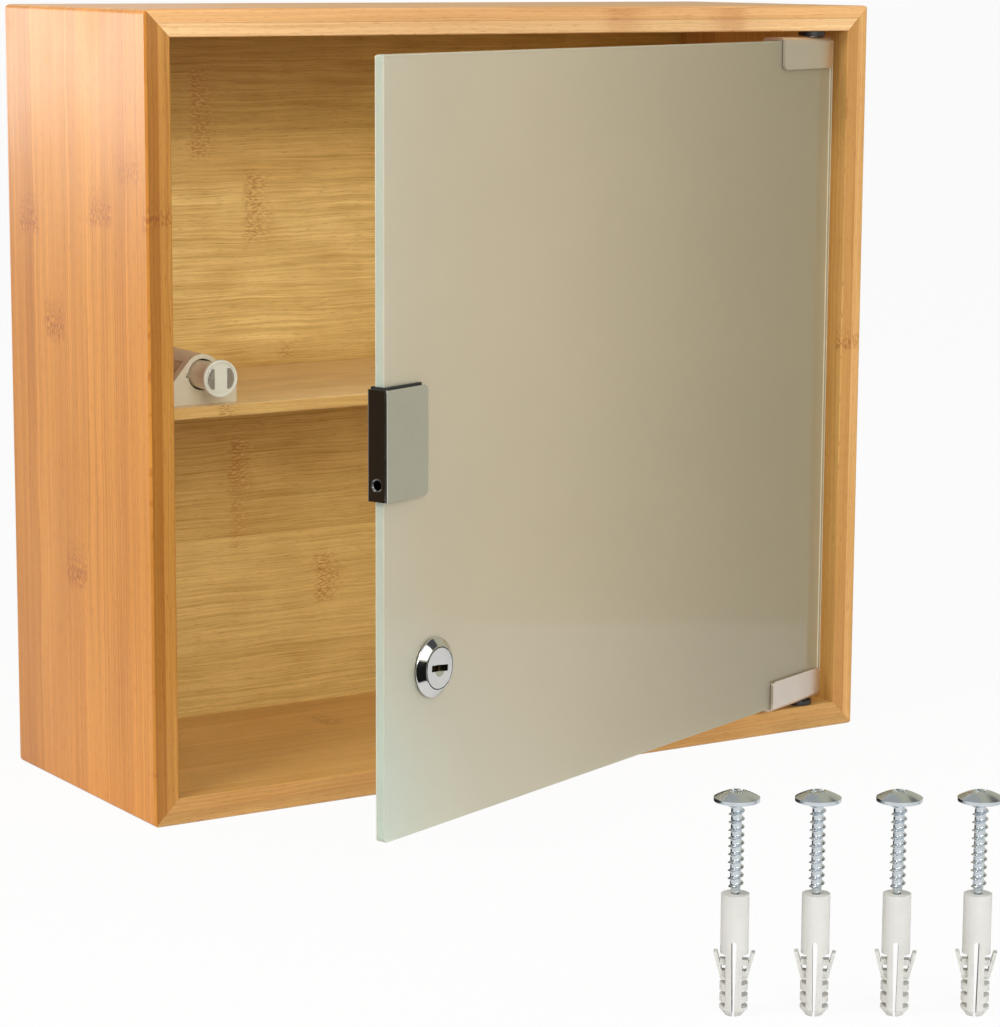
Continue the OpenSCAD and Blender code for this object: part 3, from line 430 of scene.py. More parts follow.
class Wiring:
    """Places and joins the nodes of one shader tree."""

    def __init__(self, tree: Tree) -> None:
        """Keeps the tree that the nodes go into."""
        self.tree = tree

    def node(self, kind: str, **settings: object) -> Node:
        """A new node.

        Args:
            kind: The node's type, without its ShaderNode prefix.
            settings: Attributes of the node.

        Returns:
            The node.
        """
        made = self.tree.nodes.new("ShaderNode" + kind)
        for key, value in settings.items():
            setattr(made, key, value)
        return made

    def feed(self, socket: Socket, value: object) -> None:
        """Links a socket, or sets it where a plain number, colour or vector is given.

        Args:
            socket: The socket.
            value: A value of this tree, a number or a tuple of three.
        """
        if isinstance(value, Value):
            self.tree.links.new(value.socket, socket)
        elif socket.type == "RGBA":
            socket.default_value = (*value, 1.0)
        else:
            socket.default_value = value

    def set(self, node: Node, **values: object) -> Node:
        """Feeds a node's sockets.

        Args:
            node: The node.
            values: What each socket takes, by the socket's name with _ for a space.

        Returns:
            The node.
        """
        for key, value in values.items():
            self.feed(node.inputs[key.replace("_", " ")], value)
        return node

    def out(self, node: Node, output: Union[int, str] = 0) -> Value:
        """What a node gives at one of its outputs."""
        return Value(self, node.outputs[output])

    def math(self, operation: str, *values: Number) -> Value:
        """One step of arithmetic.

        Args:
            operation: Blender's name for the operation.
            values: What it takes.

        Returns:
            The result.
        """
        made = self.node("Math", operation=operation)
        for socket, value in zip(made.inputs, values):
            self.feed(socket, value)
        return self.out(made)

    def mix(self, factor: Number, a: object, b: object, blend: str = "MIX") -> Value:
        """A blend of two colours.

        Args:
            factor: Share of the second colour.
            a: First colour.
            b: Second colour.
            blend: Blender's name for the way of blending.

        Returns:
            The blended colour.
        """
        made = self.node("Mix", data_type="RGBA", blend_type=blend, clamp_factor=True)
        for place, entry in ((0, factor), (6, a), (7, b)):
            self.feed(made.inputs[place], entry)
        return self.out(made, 2)

    def vector(self, x: Number, y: Number, z: Number = 0.0) -> Value:
        """A vector from three numbers."""
        return self.out(self.set(self.node("CombineXYZ"), X=x, Y=y, Z=z))

    def mapped(self, vector: Value, how: str = "POINT", **settings: object) -> Value:
        """A vector turned and moved.

        Args:
            vector: The vector.
            how: Blender's name for what the vector is.
            settings: Location and Rotation.

        Returns:
            The new vector.
        """
        return self.out(self.set(self.node("Mapping", vector_type=how), Vector=vector, **settings))

    def noise(self, vector: Value, scale: Number = 1.0, detail: float = 2.0, rough: float = 0.55) -> Value:
        """Soft noise, about 0.5 on average.

        Args:
            vector: Place in the noise.
            scale: Lumps per unit of the vector.
            detail: Finer layers.
            rough: Share of the finer layers.

        Returns:
            The noise, 0 to 1.
        """
        made = self.node("TexNoise")
        return self.out(self.set(made, Vector=vector, Scale=scale, Detail=detail, Roughness=rough))

    def place(self, group: Tree, **values: object) -> dict[str, Value]:
        """A shared group in this tree.

        Args:
            group: The shared group.
            values: What its inputs take, by name.

        Returns:
            What it gives, by name.
        """
        made = self.set(self.node("Group", node_tree=group), **values)
        return {output.name: Value(self, output) for output in made.outputs}

    def bump(self, height: Value, strength: float, distance: float) -> Value:
        """A normal from a height.

        Args:
            height: Height, 0 to 1.
            strength: Strength of the bump.
            distance: Height of 1, in millimetres.

        Returns:
            The normal.
        """
        made = self.node("Bump")
        return self.out(self.set(made, Strength=strength, Distance=distance * MM, Height=height))


def new_group(
    name: str, inputs: dict[str, str], outputs: dict[str, str]
) -> tuple[Wiring, dict[str, Value], Node]:
    """An empty shared group.

    Args:
        name: Name of the group.
        inputs: Socket kinds by input name.
        outputs: Socket kinds by output name.

    Returns:
        The group's wiring, its inputs' values by name, and the node that takes its outputs.
    """
    group = bpy.data.node_groups.new(name, "ShaderNodeTree")
    for way, sockets in (("INPUT", inputs), ("OUTPUT", outputs)):
        for label, kind in sockets.items():
            group.interface.new_socket(name=label, in_out=way, socket_type="NodeSocket" + kind)
    w = Wiring(group)
    start, end = (group.nodes.new("NodeGroup" + kind) for kind in ("Input", "Output"))
    return w, {label: w.out(start, label) for label in inputs}, end


class Effects:
    """Shader effects that several finishes share. Each is built once."""

    @staticmethod
    @cache
    def bamboo() -> Tree:
        """Pressed bamboo: strips of their own tone, long fibres, and short dark pores.

        The vector runs along the grain in X, across the strips in Y and through the board in Z,
        in metres. Every noise is stretched along X, by the run of the fibres.

        Returns:
            The group.
        """
        w, ins, end = new_group(
            "pressed bamboo",
            {"Vector": "Vector", "Light": "Color", "Dark": "Color", "Strip": "Float", "Shift": "Float",
             "Contrast": "Float", "Run": "Float"},
            {"Color": "Color", "Height": "Float"},
        )
        sway_depth, tone_share, pore_share, seam_share = 0.0030, 0.55, 0.35, 0.30
        # Each layer of fibres: lumps along the grain, lumps across it, and its share of the tone
        layers = ((2.2, 45.0, 0.75), (1.2, 380.0, 0.85), (0.8, 1150.0, 1.25), (2.0, 2300.0, 0.8))
        x, y, z = ins["Vector"].split()
        y = y + (w.noise(w.vector(x * 24.0, y * 40.0, z)) - 0.5) * sway_depth
        strips = y / ins["Strip"] + ins["Shift"]
        tone = w.set(w.node("TexWhiteNoise", noise_dimensions="1D"), W=w.math("FLOOR", strips) * 1.37 + 4.1)
        own = w.out(tone, "Value")
        along = (x + own * 3.0) / ins["Run"]
        across = y + z
        total = (own - 0.5) * tone_share
        fibres: list[Value] = []
        for length, fineness, share in layers:
            fibres.append(w.noise(w.vector(along * length, across * fineness)))
            total = total + (fibres[-1] - 0.5) * share
        pore = w.noise(w.vector(x * 170.0, across * 2600.0), detail=1.0).fit(0.60, 0.70)
        seam = abs(w.math("FRACT", strips) - 0.5).fit(0.490, 0.4995)
        colour = w.mix((total * ins["Contrast"] + 0.5).clamped(), ins["Dark"], ins["Light"])
        colour = w.mix(pore * pore_share, colour, ins["Dark"], "MULTIPLY")
        colour = w.mix(seam * seam_share, colour, ins["Dark"], "MULTIPLY")
        w.set(end, Color=colour, Height=fibres[2] * 0.6 - pore * 0.3 - seam * 0.5)
        return w.tree

    @staticmethod
    @cache
    def knuckle() -> Tree:
        """The speckled band where a bamboo stem had a joint, on one strip.

        The band starts sharply and fades as exp(-(dx / length)^2). It is cut to the strip's
        width, its border is frayed fibre by fibre, and dashes along the grain break it up.

        Returns:
            The group, with a mask of dark dashes and one of light flecks.
        """
        w, ins, end = new_group(
            "bamboo knuckle",
            {"Vector": "Vector", "Along": "Float", "Across": "Float", "Length": "Float", "Width": "Float",
             "Strength": "Float"},
            {"Mask": "Float", "Fleck": "Float"},
        )
        slow_fray, fast_fray = 0.009, 0.006
        x, y, z = ins["Vector"].split()
        slow = w.noise(w.vector(y * 170.0, z)) - 0.5
        fast = w.noise(w.vector(y * 1300.0, z), detail=1.0) - 0.5
        dx = (x + (slow * slow_fray + fast * fast_fray) - ins["Along"]) / ins["Length"]
        dy = abs(y - ins["Across"]) / ins["Width"]
        bell = w.math("EXPONENT", dx * dx * -1.0) * dx.fit(-0.55, -0.05)
        area = (bell * dy.fit(0.36, 0.54, 1.0, 0.0) * ins["Strength"]).clamped()
        speck = w.noise(w.vector(x * 480.0, (y + z) * 1500.0), rough=0.6)
        dark, pale = speck.fit(0.47, 0.555, 0.05, 1.0), speck.fit(0.36, 0.45, 0.60, 0.0)
        w.set(end, Mask=area * dark, Fleck=area * pale)
        return w.tree

    @staticmethod
    @cache
    def handling() -> Tree:
        """Marks of use: large smudges from hands and fine crossed scratches.

        Returns:
            The group, with a smudge mask and a scratch mask.
        """
        w, ins, end = new_group(
            "handling marks",
            {"Vector": "Vector", "Size": "Float", "Scratches": "Float"},
            {"Smudge": "Float", "Scratch": "Float"},
        )
        smudge = w.noise(ins["Vector"], 1.0 / ins["Size"], detail=4.0, rough=0.62).fit(0.42, 0.68)
        lines: list[Value] = []
        for turn, stretch in ((0.4, 60.0), (-0.9, 75.0), (1.3, 50.0)):
            x, y, z = w.mapped(ins["Vector"], Rotation=(turn, turn * 0.7, turn * 1.3)).split()
            drawn = w.vector(x * stretch, y * 4000.0, z * stretch)
            lines.append(w.noise(drawn, detail=0.0).fit(0.715, 0.76))
        scratch = w.math("MAXIMUM", w.math("MAXIMUM", lines[0], lines[1]), lines[2])
        w.set(end, Smudge=smudge, Scratch=(scratch * ins["Scratches"]).clamped())
        return w.tree

    @staticmethod
    @cache
    def dust() -> Tree:
        """Dust that lies on faces that look up: the normal's Z, broken up by noise.

        Returns:
            The group.
        """
        w, ins, end = new_group(
            "settled dust", {"Vector": "Vector", "Normal": "Vector", "Amount": "Float"}, {"Mask": "Float"}
        )
        _, _, up = ins["Normal"].split()
        broken = w.noise(ins["Vector"], 140.0, detail=5.0, rough=0.7).fit(0.35, 0.75)
        w.set(end, Mask=(up.fit(0.35, 0.95) * broken * ins["Amount"]).clamped())
        return w.tree

    @staticmethod
    @cache
    def brushing() -> Tree:
        """Fine parallel lines of a brushed or ground face, drawn out along the vector's X.

        Returns:
            The group, with a line height from 0 to 1.
        """
        w, ins, end = new_group(
            "brushed lines", {"Vector": "Vector", "Fineness": "Float"}, {"Height": "Float"}
        )
        x, y, z = ins["Vector"].split()
        fine = ins["Fineness"] * 1000.0
        w.set(end, Height=w.noise(w.vector(x * 60.0, y * fine, z * fine), detail=3.0, rough=0.65))
        return w.tree

    @staticmethod
    @cache
    def moulding() -> Tree:
        """The skin of a moulded piece: a fine grain and slow waves where it shrank.

        Returns:
            The group.
        """
        w, ins, end = new_group(
            "moulded skin", {"Vector": "Vector", "Grain": "Float"}, {"Height": "Float", "Tone": "Float"}
        )
        fine = w.noise(ins["Vector"], 1.0 / ins["Grain"], detail=3.0, rough=0.6)
        slow = w.noise(ins["Vector"], 90.0)
        w.set(end, Height=fine * 0.6 + slow * 0.4, Tone=slow)
        return w.tree


# ---- Finishes ----


def empty_material(name: str) -> tuple[bpy.types.Material, Wiring, Socket]:
    """A new material with nothing but its output.

    Args:
        name: Name of the material.

    Returns:
        The material, its wiring and its output's surface socket.
    """
    material = bpy.data.materials.new(name)
    material.use_nodes = True
    material.node_tree.nodes.clear()
    w = Wiring(material.node_tree)
    return material, w, w.node("OutputMaterial").inputs["Surface"]


@dataclass(frozen=True)
class Finish:
    """A surface. Each kind says in inputs() what its shader takes."""

    name: str

    def inputs(self, w: Wiring, at: Value, normal: Value) -> dict[str, object]:
        """What the shader's sockets take.

        Args:
            w: Wiring of the material.
            at: Place on the piece, in metres.
            normal: Normal of the face.

        Returns:
            Values by the socket's name, with _ for a space.
        """
        raise NotImplementedError

    @cache
    def material(self) -> bpy.types.Material:
        """The material, made once for all pieces that share the finish.

        Returns:
            The material.
        """
        material, w, end = empty_material(self.name)
        coords = w.node("TexCoord")
        values = self.inputs(w, w.out(coords, "Object"), w.out(coords, "Normal"))
        w.feed(end, w.out(w.set(w.node("BsdfPrincipled"), **values)))
        return material


class Grain(Enum):
    """How a board lies: the axes along its grain, across its strips and through it."""

    UPRIGHT = (2, 1, 0)
    ACROSS = (0, 1, 2)
    PANEL = (0, 2, 1)


@dataclass(frozen=True)
class Knuckle:
    """One knuckle: its place along and across the grain, its size, in millimetres, and its strength."""

    along: float
    across: float
    length: float
    width: float
    strength: float


def knuckles(*rows: tuple[float, ...]) -> tuple[Knuckle, ...]:
    """Knuckles from rows of their fields in order."""
    return tuple(Knuckle(*row) for row in rows)


@dataclass(frozen=True)
class Bamboo(Finish):
    """Lacquered two-ply bamboo board.

    A zone tints the strips within half a width of its middle, as painted light where it brightens
    and painted shade where it darkens: its fields are middle, half width and tint. The plies below
    and above their common plane have a tint each, which paints the light and shade that fall on
    the board's front edge.
    """

    grain: Grain
    light: Colour = from_screen(240, 190, 130)
    dark: Colour = from_screen(196, 136, 74)
    mark: Colour = from_screen(150, 92, 40)
    powder: Colour = from_screen(214, 200, 180)
    strip: float = 24.0
    shift: float = 0.35
    contrast: float = 1.0
    run: float = 0.12
    knuckles: tuple[Knuckle, ...] = ()
    ply_plane: Optional[float] = None
    # Tints that paint light and shade on the front edge's two plies.
    below_plane_shading: Colour = (1.0, 1.0, 1.0)
    above_plane_shading: Colour = (1.0, 1.0, 1.0)
    gloss: float = 0.34
    coat: float = 0.08
    # Bands of painted light and shade across the strips.
    painted_light_zones: tuple[tuple[float, float, Colour], ...] = ()
    zone_blur: float = 5.0

    def inputs(self, w: Wiring, at: Value, normal: Value) -> dict[str, object]:
        """A shader whose grain follows the board.

        Args:
            w: Wiring of the material.
            at: Place on the piece.
            normal: Normal of the face.

        Returns:
            Values by socket name.
        """
        parts = at.split()
        along, across, through = (parts[axis] for axis in self.grain.value)
        vector = w.vector(along, across, through)
        wood = w.place(
            Effects.bamboo(), Vector=vector, Light=self.light, Dark=self.dark,
            Strip=self.strip * MM, Shift=self.shift, Contrast=self.contrast, Run=self.run,
        )
        colour, height = wood["Color"], wood["Height"]
        # Painted light and shade: each zone brightens or darkens the strips across it.
        for middle, half, tint in self.painted_light_zones:
            near, far = (half - self.zone_blur) * MM, (half + self.zone_blur) * MM
            inside = abs(across - middle * MM).fit(near, far, 1.0, 0.0)
            colour = w.mix(inside, colour, w.mix(1.0, colour, tint, "MULTIPLY"))
        for spot in self.knuckles:
            band = w.place(
                Effects.knuckle(), Vector=vector, Along=spot.along * MM, Across=spot.across * MM,
                Length=spot.length * MM, Width=spot.width * MM, Strength=spot.strength,
            )
            colour = w.mix(band["Mask"], colour, self.mark)
            colour = w.mix(band["Fleck"], colour, self.light)
            height = height - band["Mask"] * 0.4
        if self.ply_plane is not None:
            colour = self.plies(w, colour, through - self.ply_plane * MM, normal)
        smudge = w.place(Effects.handling(), Vector=at, Size=0.05, Scratches=0.0)["Smudge"]
        dust = w.place(Effects.dust(), Vector=at, Normal=normal, Amount=0.10)["Mask"]
        return dict(
            Base_Color=w.mix(dust, colour, self.powder), Roughness=self.gloss + smudge * 0.07 + dust * 0.3,
            Specular_IOR_Level=0.35, Coat_Weight=self.coat, Coat_Roughness=0.22,
            Normal=w.bump(height, 0.22, 0.06),
        )

    def plies(self, w: Wiring, colour: Value, level: Value, normal: Value) -> Value:
        """Paints light and shade on the two plies where the board's front edge shows them, as a tint each,
        with a glue line between.

        Args:
            w: Wiring of the material.
            colour: Colour so far.
            level: Distance from the plane between the plies, in metres.
            normal: Normal of the face.

        Returns:
            The tinted colour.
        """
        _, forward, _ = normal.split()
        front = forward.fit(-0.9, -0.5, 1.0, 0.0)
        # Painted light and shade: a tint for each ply, multiplied into the front edge.
        tint = w.mix(level.fit(-0.00012, 0.00012), self.below_plane_shading, self.above_plane_shading)
        colour = w.mix(front, colour, w.mix(1.0, colour, tint, "MULTIPLY"))
        return w.mix(abs(level).fit(0.00005, 0.00028, 0.35, 0.0) * front, colour, self.mark)


class Metal(Enum):
    """Base colour, roughness, brushed share and scratch share of a metal finish."""

    CHROME = (from_screen(216, 216, 215), 0.07, 0.02, 0.35)
    SATIN_NICKEL = (from_screen(225, 216, 206), 0.30, 0.55, 0.25)
    ZINC = (from_screen(212, 220, 226), 0.22, 0.15, 0.30)
    BRIGHT_STEEL = (from_screen(200, 202, 204), 0.22, 0.35, 0.30)
    BLACKENED = (from_screen(70, 68, 68), 0.38, 0.10, 0.25)
    # Brass darkened to paint the shade on the wafers deep in the keyway.
    SHADED_BRASS = (from_screen(120, 98, 62), 0.35, 0.35, 0.30)


@dataclass(frozen=True)
class MetalFinish(Finish):
    """A metal surface with its brushing, smudges, fine scratches and painted shade in its gaps."""

    kind: Metal
    turned: float = 0.0

    def inputs(self, w: Wiring, at: Value, normal: Value) -> dict[str, object]:
        """A shader whose brushing runs along the piece's X, turned by the finish's angle.

        Args:
            w: Wiring of the material.
            at: Place on the piece.
            normal: Normal of the face; not used.

        Returns:
            Values by socket name.
        """
        base, rough, brushed, scratched = self.kind.value
        vector = w.mapped(at, Rotation=(0.0, 0.0, math.radians(self.turned)))
        lines = w.place(Effects.brushing(), Vector=vector, Fineness=6.0)["Height"]
        marks = w.place(Effects.handling(), Vector=vector, Size=0.012, Scratches=scratched)
        tone = w.mix(lines * (brushed * 0.5), base, dimmed(base, 0.72))
        tone = w.mix(marks["Smudge"] * 0.10, tone, dimmed(base, 0.8))
        # Painted shade where the piece is marked: gaps and sockets go near black.
        tone = w.mix(w.out(w.node("Attribute", attribute_name="painted_shade"), "Fac"), tone, dimmed(base, 0.03))
        gloss = rough + marks["Smudge"] * 0.06 + marks["Scratch"] * 0.12 + lines * (brushed * 0.12)
        relief = lines * brushed - marks["Scratch"] * 0.4
        return dict(Base_Color=tone, Metallic=1.0, Roughness=gloss, Normal=w.bump(relief, 0.25, 0.01))


class Plastic(Enum):
    """Base colour, roughness, moulded grain in millimetres and light carried under the skin."""

    IVORY = (from_screen(220, 211, 184), 0.36, 0.35, 0.10)
    HEAD_WHITE = (from_screen(213, 211, 193), 0.30, 0.30, 0.10)
    BEIGE = (from_screen(226, 214, 184), 0.38, 0.35, 0.10)
    BLACK_NYLON = (from_screen(34, 33, 34), 0.34, 0.25, 0.0)
    WHITE_NYLON = (from_screen(217, 217, 212), 0.46, 0.40, 0.15)
    RUBBER = (from_screen(30, 30, 30), 0.62, 0.25, 0.0)
    FERRITE = (from_screen(62, 62, 64), 0.66, 0.15, 0.0)


@dataclass(frozen=True)
class PlasticFinish(Finish):
    """A moulded surface with a fine grain, uneven tone and a little dust."""

    kind: Plastic
    powder: Colour = from_screen(196, 190, 180)

    def inputs(self, w: Wiring, at: Value, normal: Value) -> dict[str, object]:
        """A shader for the moulded skin.

        Args:
            w: Wiring of the material.
            at: Place on the piece.
            normal: Normal of the face.

        Returns:
            Values by socket name.
        """
        base, rough, grain, under = self.kind.value
        skin = w.place(Effects.moulding(), Vector=at, Grain=grain * MM)
        marks = w.place(Effects.handling(), Vector=at, Size=0.010, Scratches=0.25)
        dust = w.place(Effects.dust(), Vector=at, Normal=normal, Amount=0.12)["Mask"]
        tone = w.mix(skin["Tone"].fit(0.35, 0.7, 0.0, 0.5), base, dimmed(base, 0.88))
        tone = w.mix(marks["Smudge"] * 0.12, tone, dimmed(base, 0.8))
        relief = skin["Height"] - marks["Scratch"] * 0.3
        return dict(
            Base_Color=w.mix(dust, tone, self.powder), Normal=w.bump(relief, 0.25, 0.03),
            Roughness=rough + marks["Smudge"] * 0.10 + marks["Scratch"] * 0.15,
            Subsurface_Weight=under, Subsurface_Radius=(1.0, 0.9, 0.8), Subsurface_Scale=1.2 * MM,
        )


@dataclass(frozen=True)
class EtchedGlass(Finish):
    """Glass etched on its inside, with ground edges that show its green, and a painted sheen, shade and
    highlights.

    The share through is how much light passes the faces, and lets_light how much of a lamp's.
    """

    name: str = "etched glass"
    body: Colour = from_screen(207, 196, 170)
    # The colour at the hinge side paints shade, the colour of the bright lines paints highlights, and the
    # pale colour paints a sheen; the edge colour is the glass's own green.
    hinge_shade: Colour = from_screen(157, 147, 114)
    arris_highlight: Colour = from_screen(250, 248, 228)
    edge: Colour = from_screen(208, 220, 208)
    painted_sheen: Colour = from_screen(208, 216, 204)
    through: float = 0.45
    lets_light: float = 0.95

    def inputs(self, w: Wiring, at: Value, normal: Value) -> dict[str, object]:
        """A shader that scatters light in the faces and is pale green at the edges.

        The faces pale to the free edge as exp(-26 x), and to the foot: a painted sheen. They darken
        towards the hinge: painted shade. Two bright lines beside the hinge edge and a bright band on
        the inner part of the edge faces are painted highlights. Rays that look for a lamp pass nearly
        freely, because the ray tracer can't follow light through scattering glass.

        Args:
            w: Wiring of the material.
            at: Place on the piece.
            normal: Normal of the face.

        Returns:
            Values by socket name.
        """
        swing = math.radians(SIZES.door_open)
        pivot = (SIZES.pivot[0] * MM, SIZES.pivot[1] * MM, 0.0)
        _, outward, _ = w.mapped(normal, "VECTOR", Rotation=(0.0, 0.0, -swing)).split()
        x, through, z = w.mapped(at, "TEXTURE", Location=pivot, Rotation=(0.0, 0.0, swing)).split()
        faces_out = abs(outward)
        edge = faces_out.fit(0.35, 0.9, 1.0, 0.0)
        # Painted highlight on the inner part of the edge faces.
        arris_highlight = edge * through.fit(-0.0013, -0.0008)
        from_hinge = SIZES.hinge_edge * MM - x
        # Two painted highlight lines beside the hinge edge.
        lines = abs(abs(from_hinge - 0.0015) - 0.0010).fit(0.0003, 0.0005, 1.0, 0.0)
        rim = w.math("EXPONENT", (x - SIZES.free_edge * MM) * -26.0)
        foot = z.fit(0.02, 0.11, 0.55, 0.0)
        etch, cloud = w.noise(at, 2600.0), w.noise(at, 16.0, detail=3.0)
        smudge = w.place(Effects.handling(), Vector=at, Size=0.035, Scratches=0.15)["Smudge"]
        # Painted sheen: the faces pale towards the free edge and the foot.
        colour = w.mix((rim * (foot * 1.2 + 0.3) + foot * 0.3).clamped(), self.body, self.painted_sheen)
        for share, tint in (
            (cloud.fit(0.3, 0.75, 0.0, 0.12), dimmed(self.body, 0.8)),
            # Painted shade towards the hinge, and on the strip just inside the hinge edge.
            (x.fit(-0.24, 0.01, 0.0, 0.75), self.hinge_shade),
            (from_hinge.fit(0.0022, 0.0030, 1.0, 0.0) * 0.6, self.hinge_shade),
            (edge, self.edge),
            (w.math("MAXIMUM", arris_highlight, lines * 0.9), self.arris_highlight),
        ):
            colour = w.mix(share, colour, tint)
        shadow_ray = w.out(w.node("LightPath"), "Is Shadow Ray")
        return dict(
            Base_Color=colour, Roughness=(0.42 + etch * 0.10 + smudge * 0.05) * (1.0 - edge * 0.6),
            Transmission_Weight=self.through, IOR=1.5, Coat_Weight=faces_out.fit(0.9, 0.99, 0.0, 0.8),
            Coat_Roughness=0.06, Normal=w.bump(etch, 0.05, 0.01), Alpha=1.0 - shadow_ray * self.lets_light,
        )


def dress(piece: Piece, finish: Finish) -> None:
    """Gives a piece one material in all its slots.

    Args:
        piece: The piece, or a CAD node that stays.
        finish: The finish.
    """
    material = finish.material()
    if not piece.data.materials:
        piece.data.materials.append(material)
    for slot in piece.material_slots:
        slot.material = material


def keep(node: str, finish: Finish) -> None:
    """A CAD node stays as it is and gets a finish."""
    dress(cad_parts[node], finish)
    LOG.info("kept %s", node)


def stand_for(piece: Piece, body: str, finish: Finish, node: str) -> None:
    """Sets a new piece in place of a CAD node.

    Args:
        piece: The new piece.
        body: The body that it moves with.
        finish: The finish.
        node: The CAD node that it stands for.
    """
    dress(piece, finish)
    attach(piece, body)
    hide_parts(node)
    LOG.info("made %s for %s", piece.name, node)


def soften(
    node: str, ending: str, width: float, body: str, finish: Finish,
    rounds: int = 2, crease: float = SHARP,
) -> None:
    """Sets a copy of a CAD node in its place, its edges broken by a small round, as on the made piece.

    Args:
        node: The CAD node.
        ending: What is added to its name.
        width: Width of the rounds, in millimetres.
        body: The body that it moves with.
        finish: The finish.
        rounds: Faces across a round.
        crease: Edges that turn by less than this many degrees are shaded smooth.
    """
    name = f"{node}_{ending}"
    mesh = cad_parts[node].data.copy()
    mesh.name = name
    mesh.materials.clear()
    shell = bmesh.new()
    shell.from_mesh(mesh)
    bmesh.ops.remove_doubles(shell, verts=shell.verts, dist=CAD_MERGE)
    flat, points, edges = math.radians(FLAT), shell.verts, shell.edges
    bmesh.ops.dissolve_limit(shell, angle_limit=flat, verts=points, edges=edges, delimit={"NORMAL"})
    piece = shown(name, mesh, shell, crease)
    bevel = piece.modifiers.new("broken edges", "BEVEL")
    bevel.width = width * MM
    bevel.segments = rounds
    bevel.limit_method = "ANGLE"
    bevel.angle_limit = math.radians(SHARP)
    bevel.harden_normals = True
    bevel.miter_outer = "MITER_ARC"
    stand_for(piece, body, finish, node)


CHROME = MetalFinish("polished chrome", Metal.CHROME)
SATIN = MetalFinish("satin nickel", Metal.SATIN_NICKEL, -SIZES.door_open)
ZINC = MetalFinish("zinc plate", Metal.ZINC)
STEEL = MetalFinish("bright steel", Metal.BRIGHT_STEEL)
BLACKENED = MetalFinish("blackened steel", Metal.BLACKENED)
SHADED_BRASS = MetalFinish("brass in painted shade", Metal.SHADED_BRASS)
RUBBER = PlasticFinish("black rubber", Plastic.RUBBER)
BLACK_NYLON = PlasticFinish("black nylon", Plastic.BLACK_NYLON)
WHITE_NYLON = PlasticFinish("white nylon", Plastic.WHITE_NYLON)
IVORY = PlasticFinish("ivory plastic", Plastic.IVORY)
BEIGE = PlasticFinish("beige plastic", Plastic.BEIGE)
HEAD_WHITE = PlasticFinish("white plastic", Plastic.HEAD_WHITE)
FERRITE = PlasticFinish("ferrite", Plastic.FERRITE)


# ---- Sub-assemblies ----


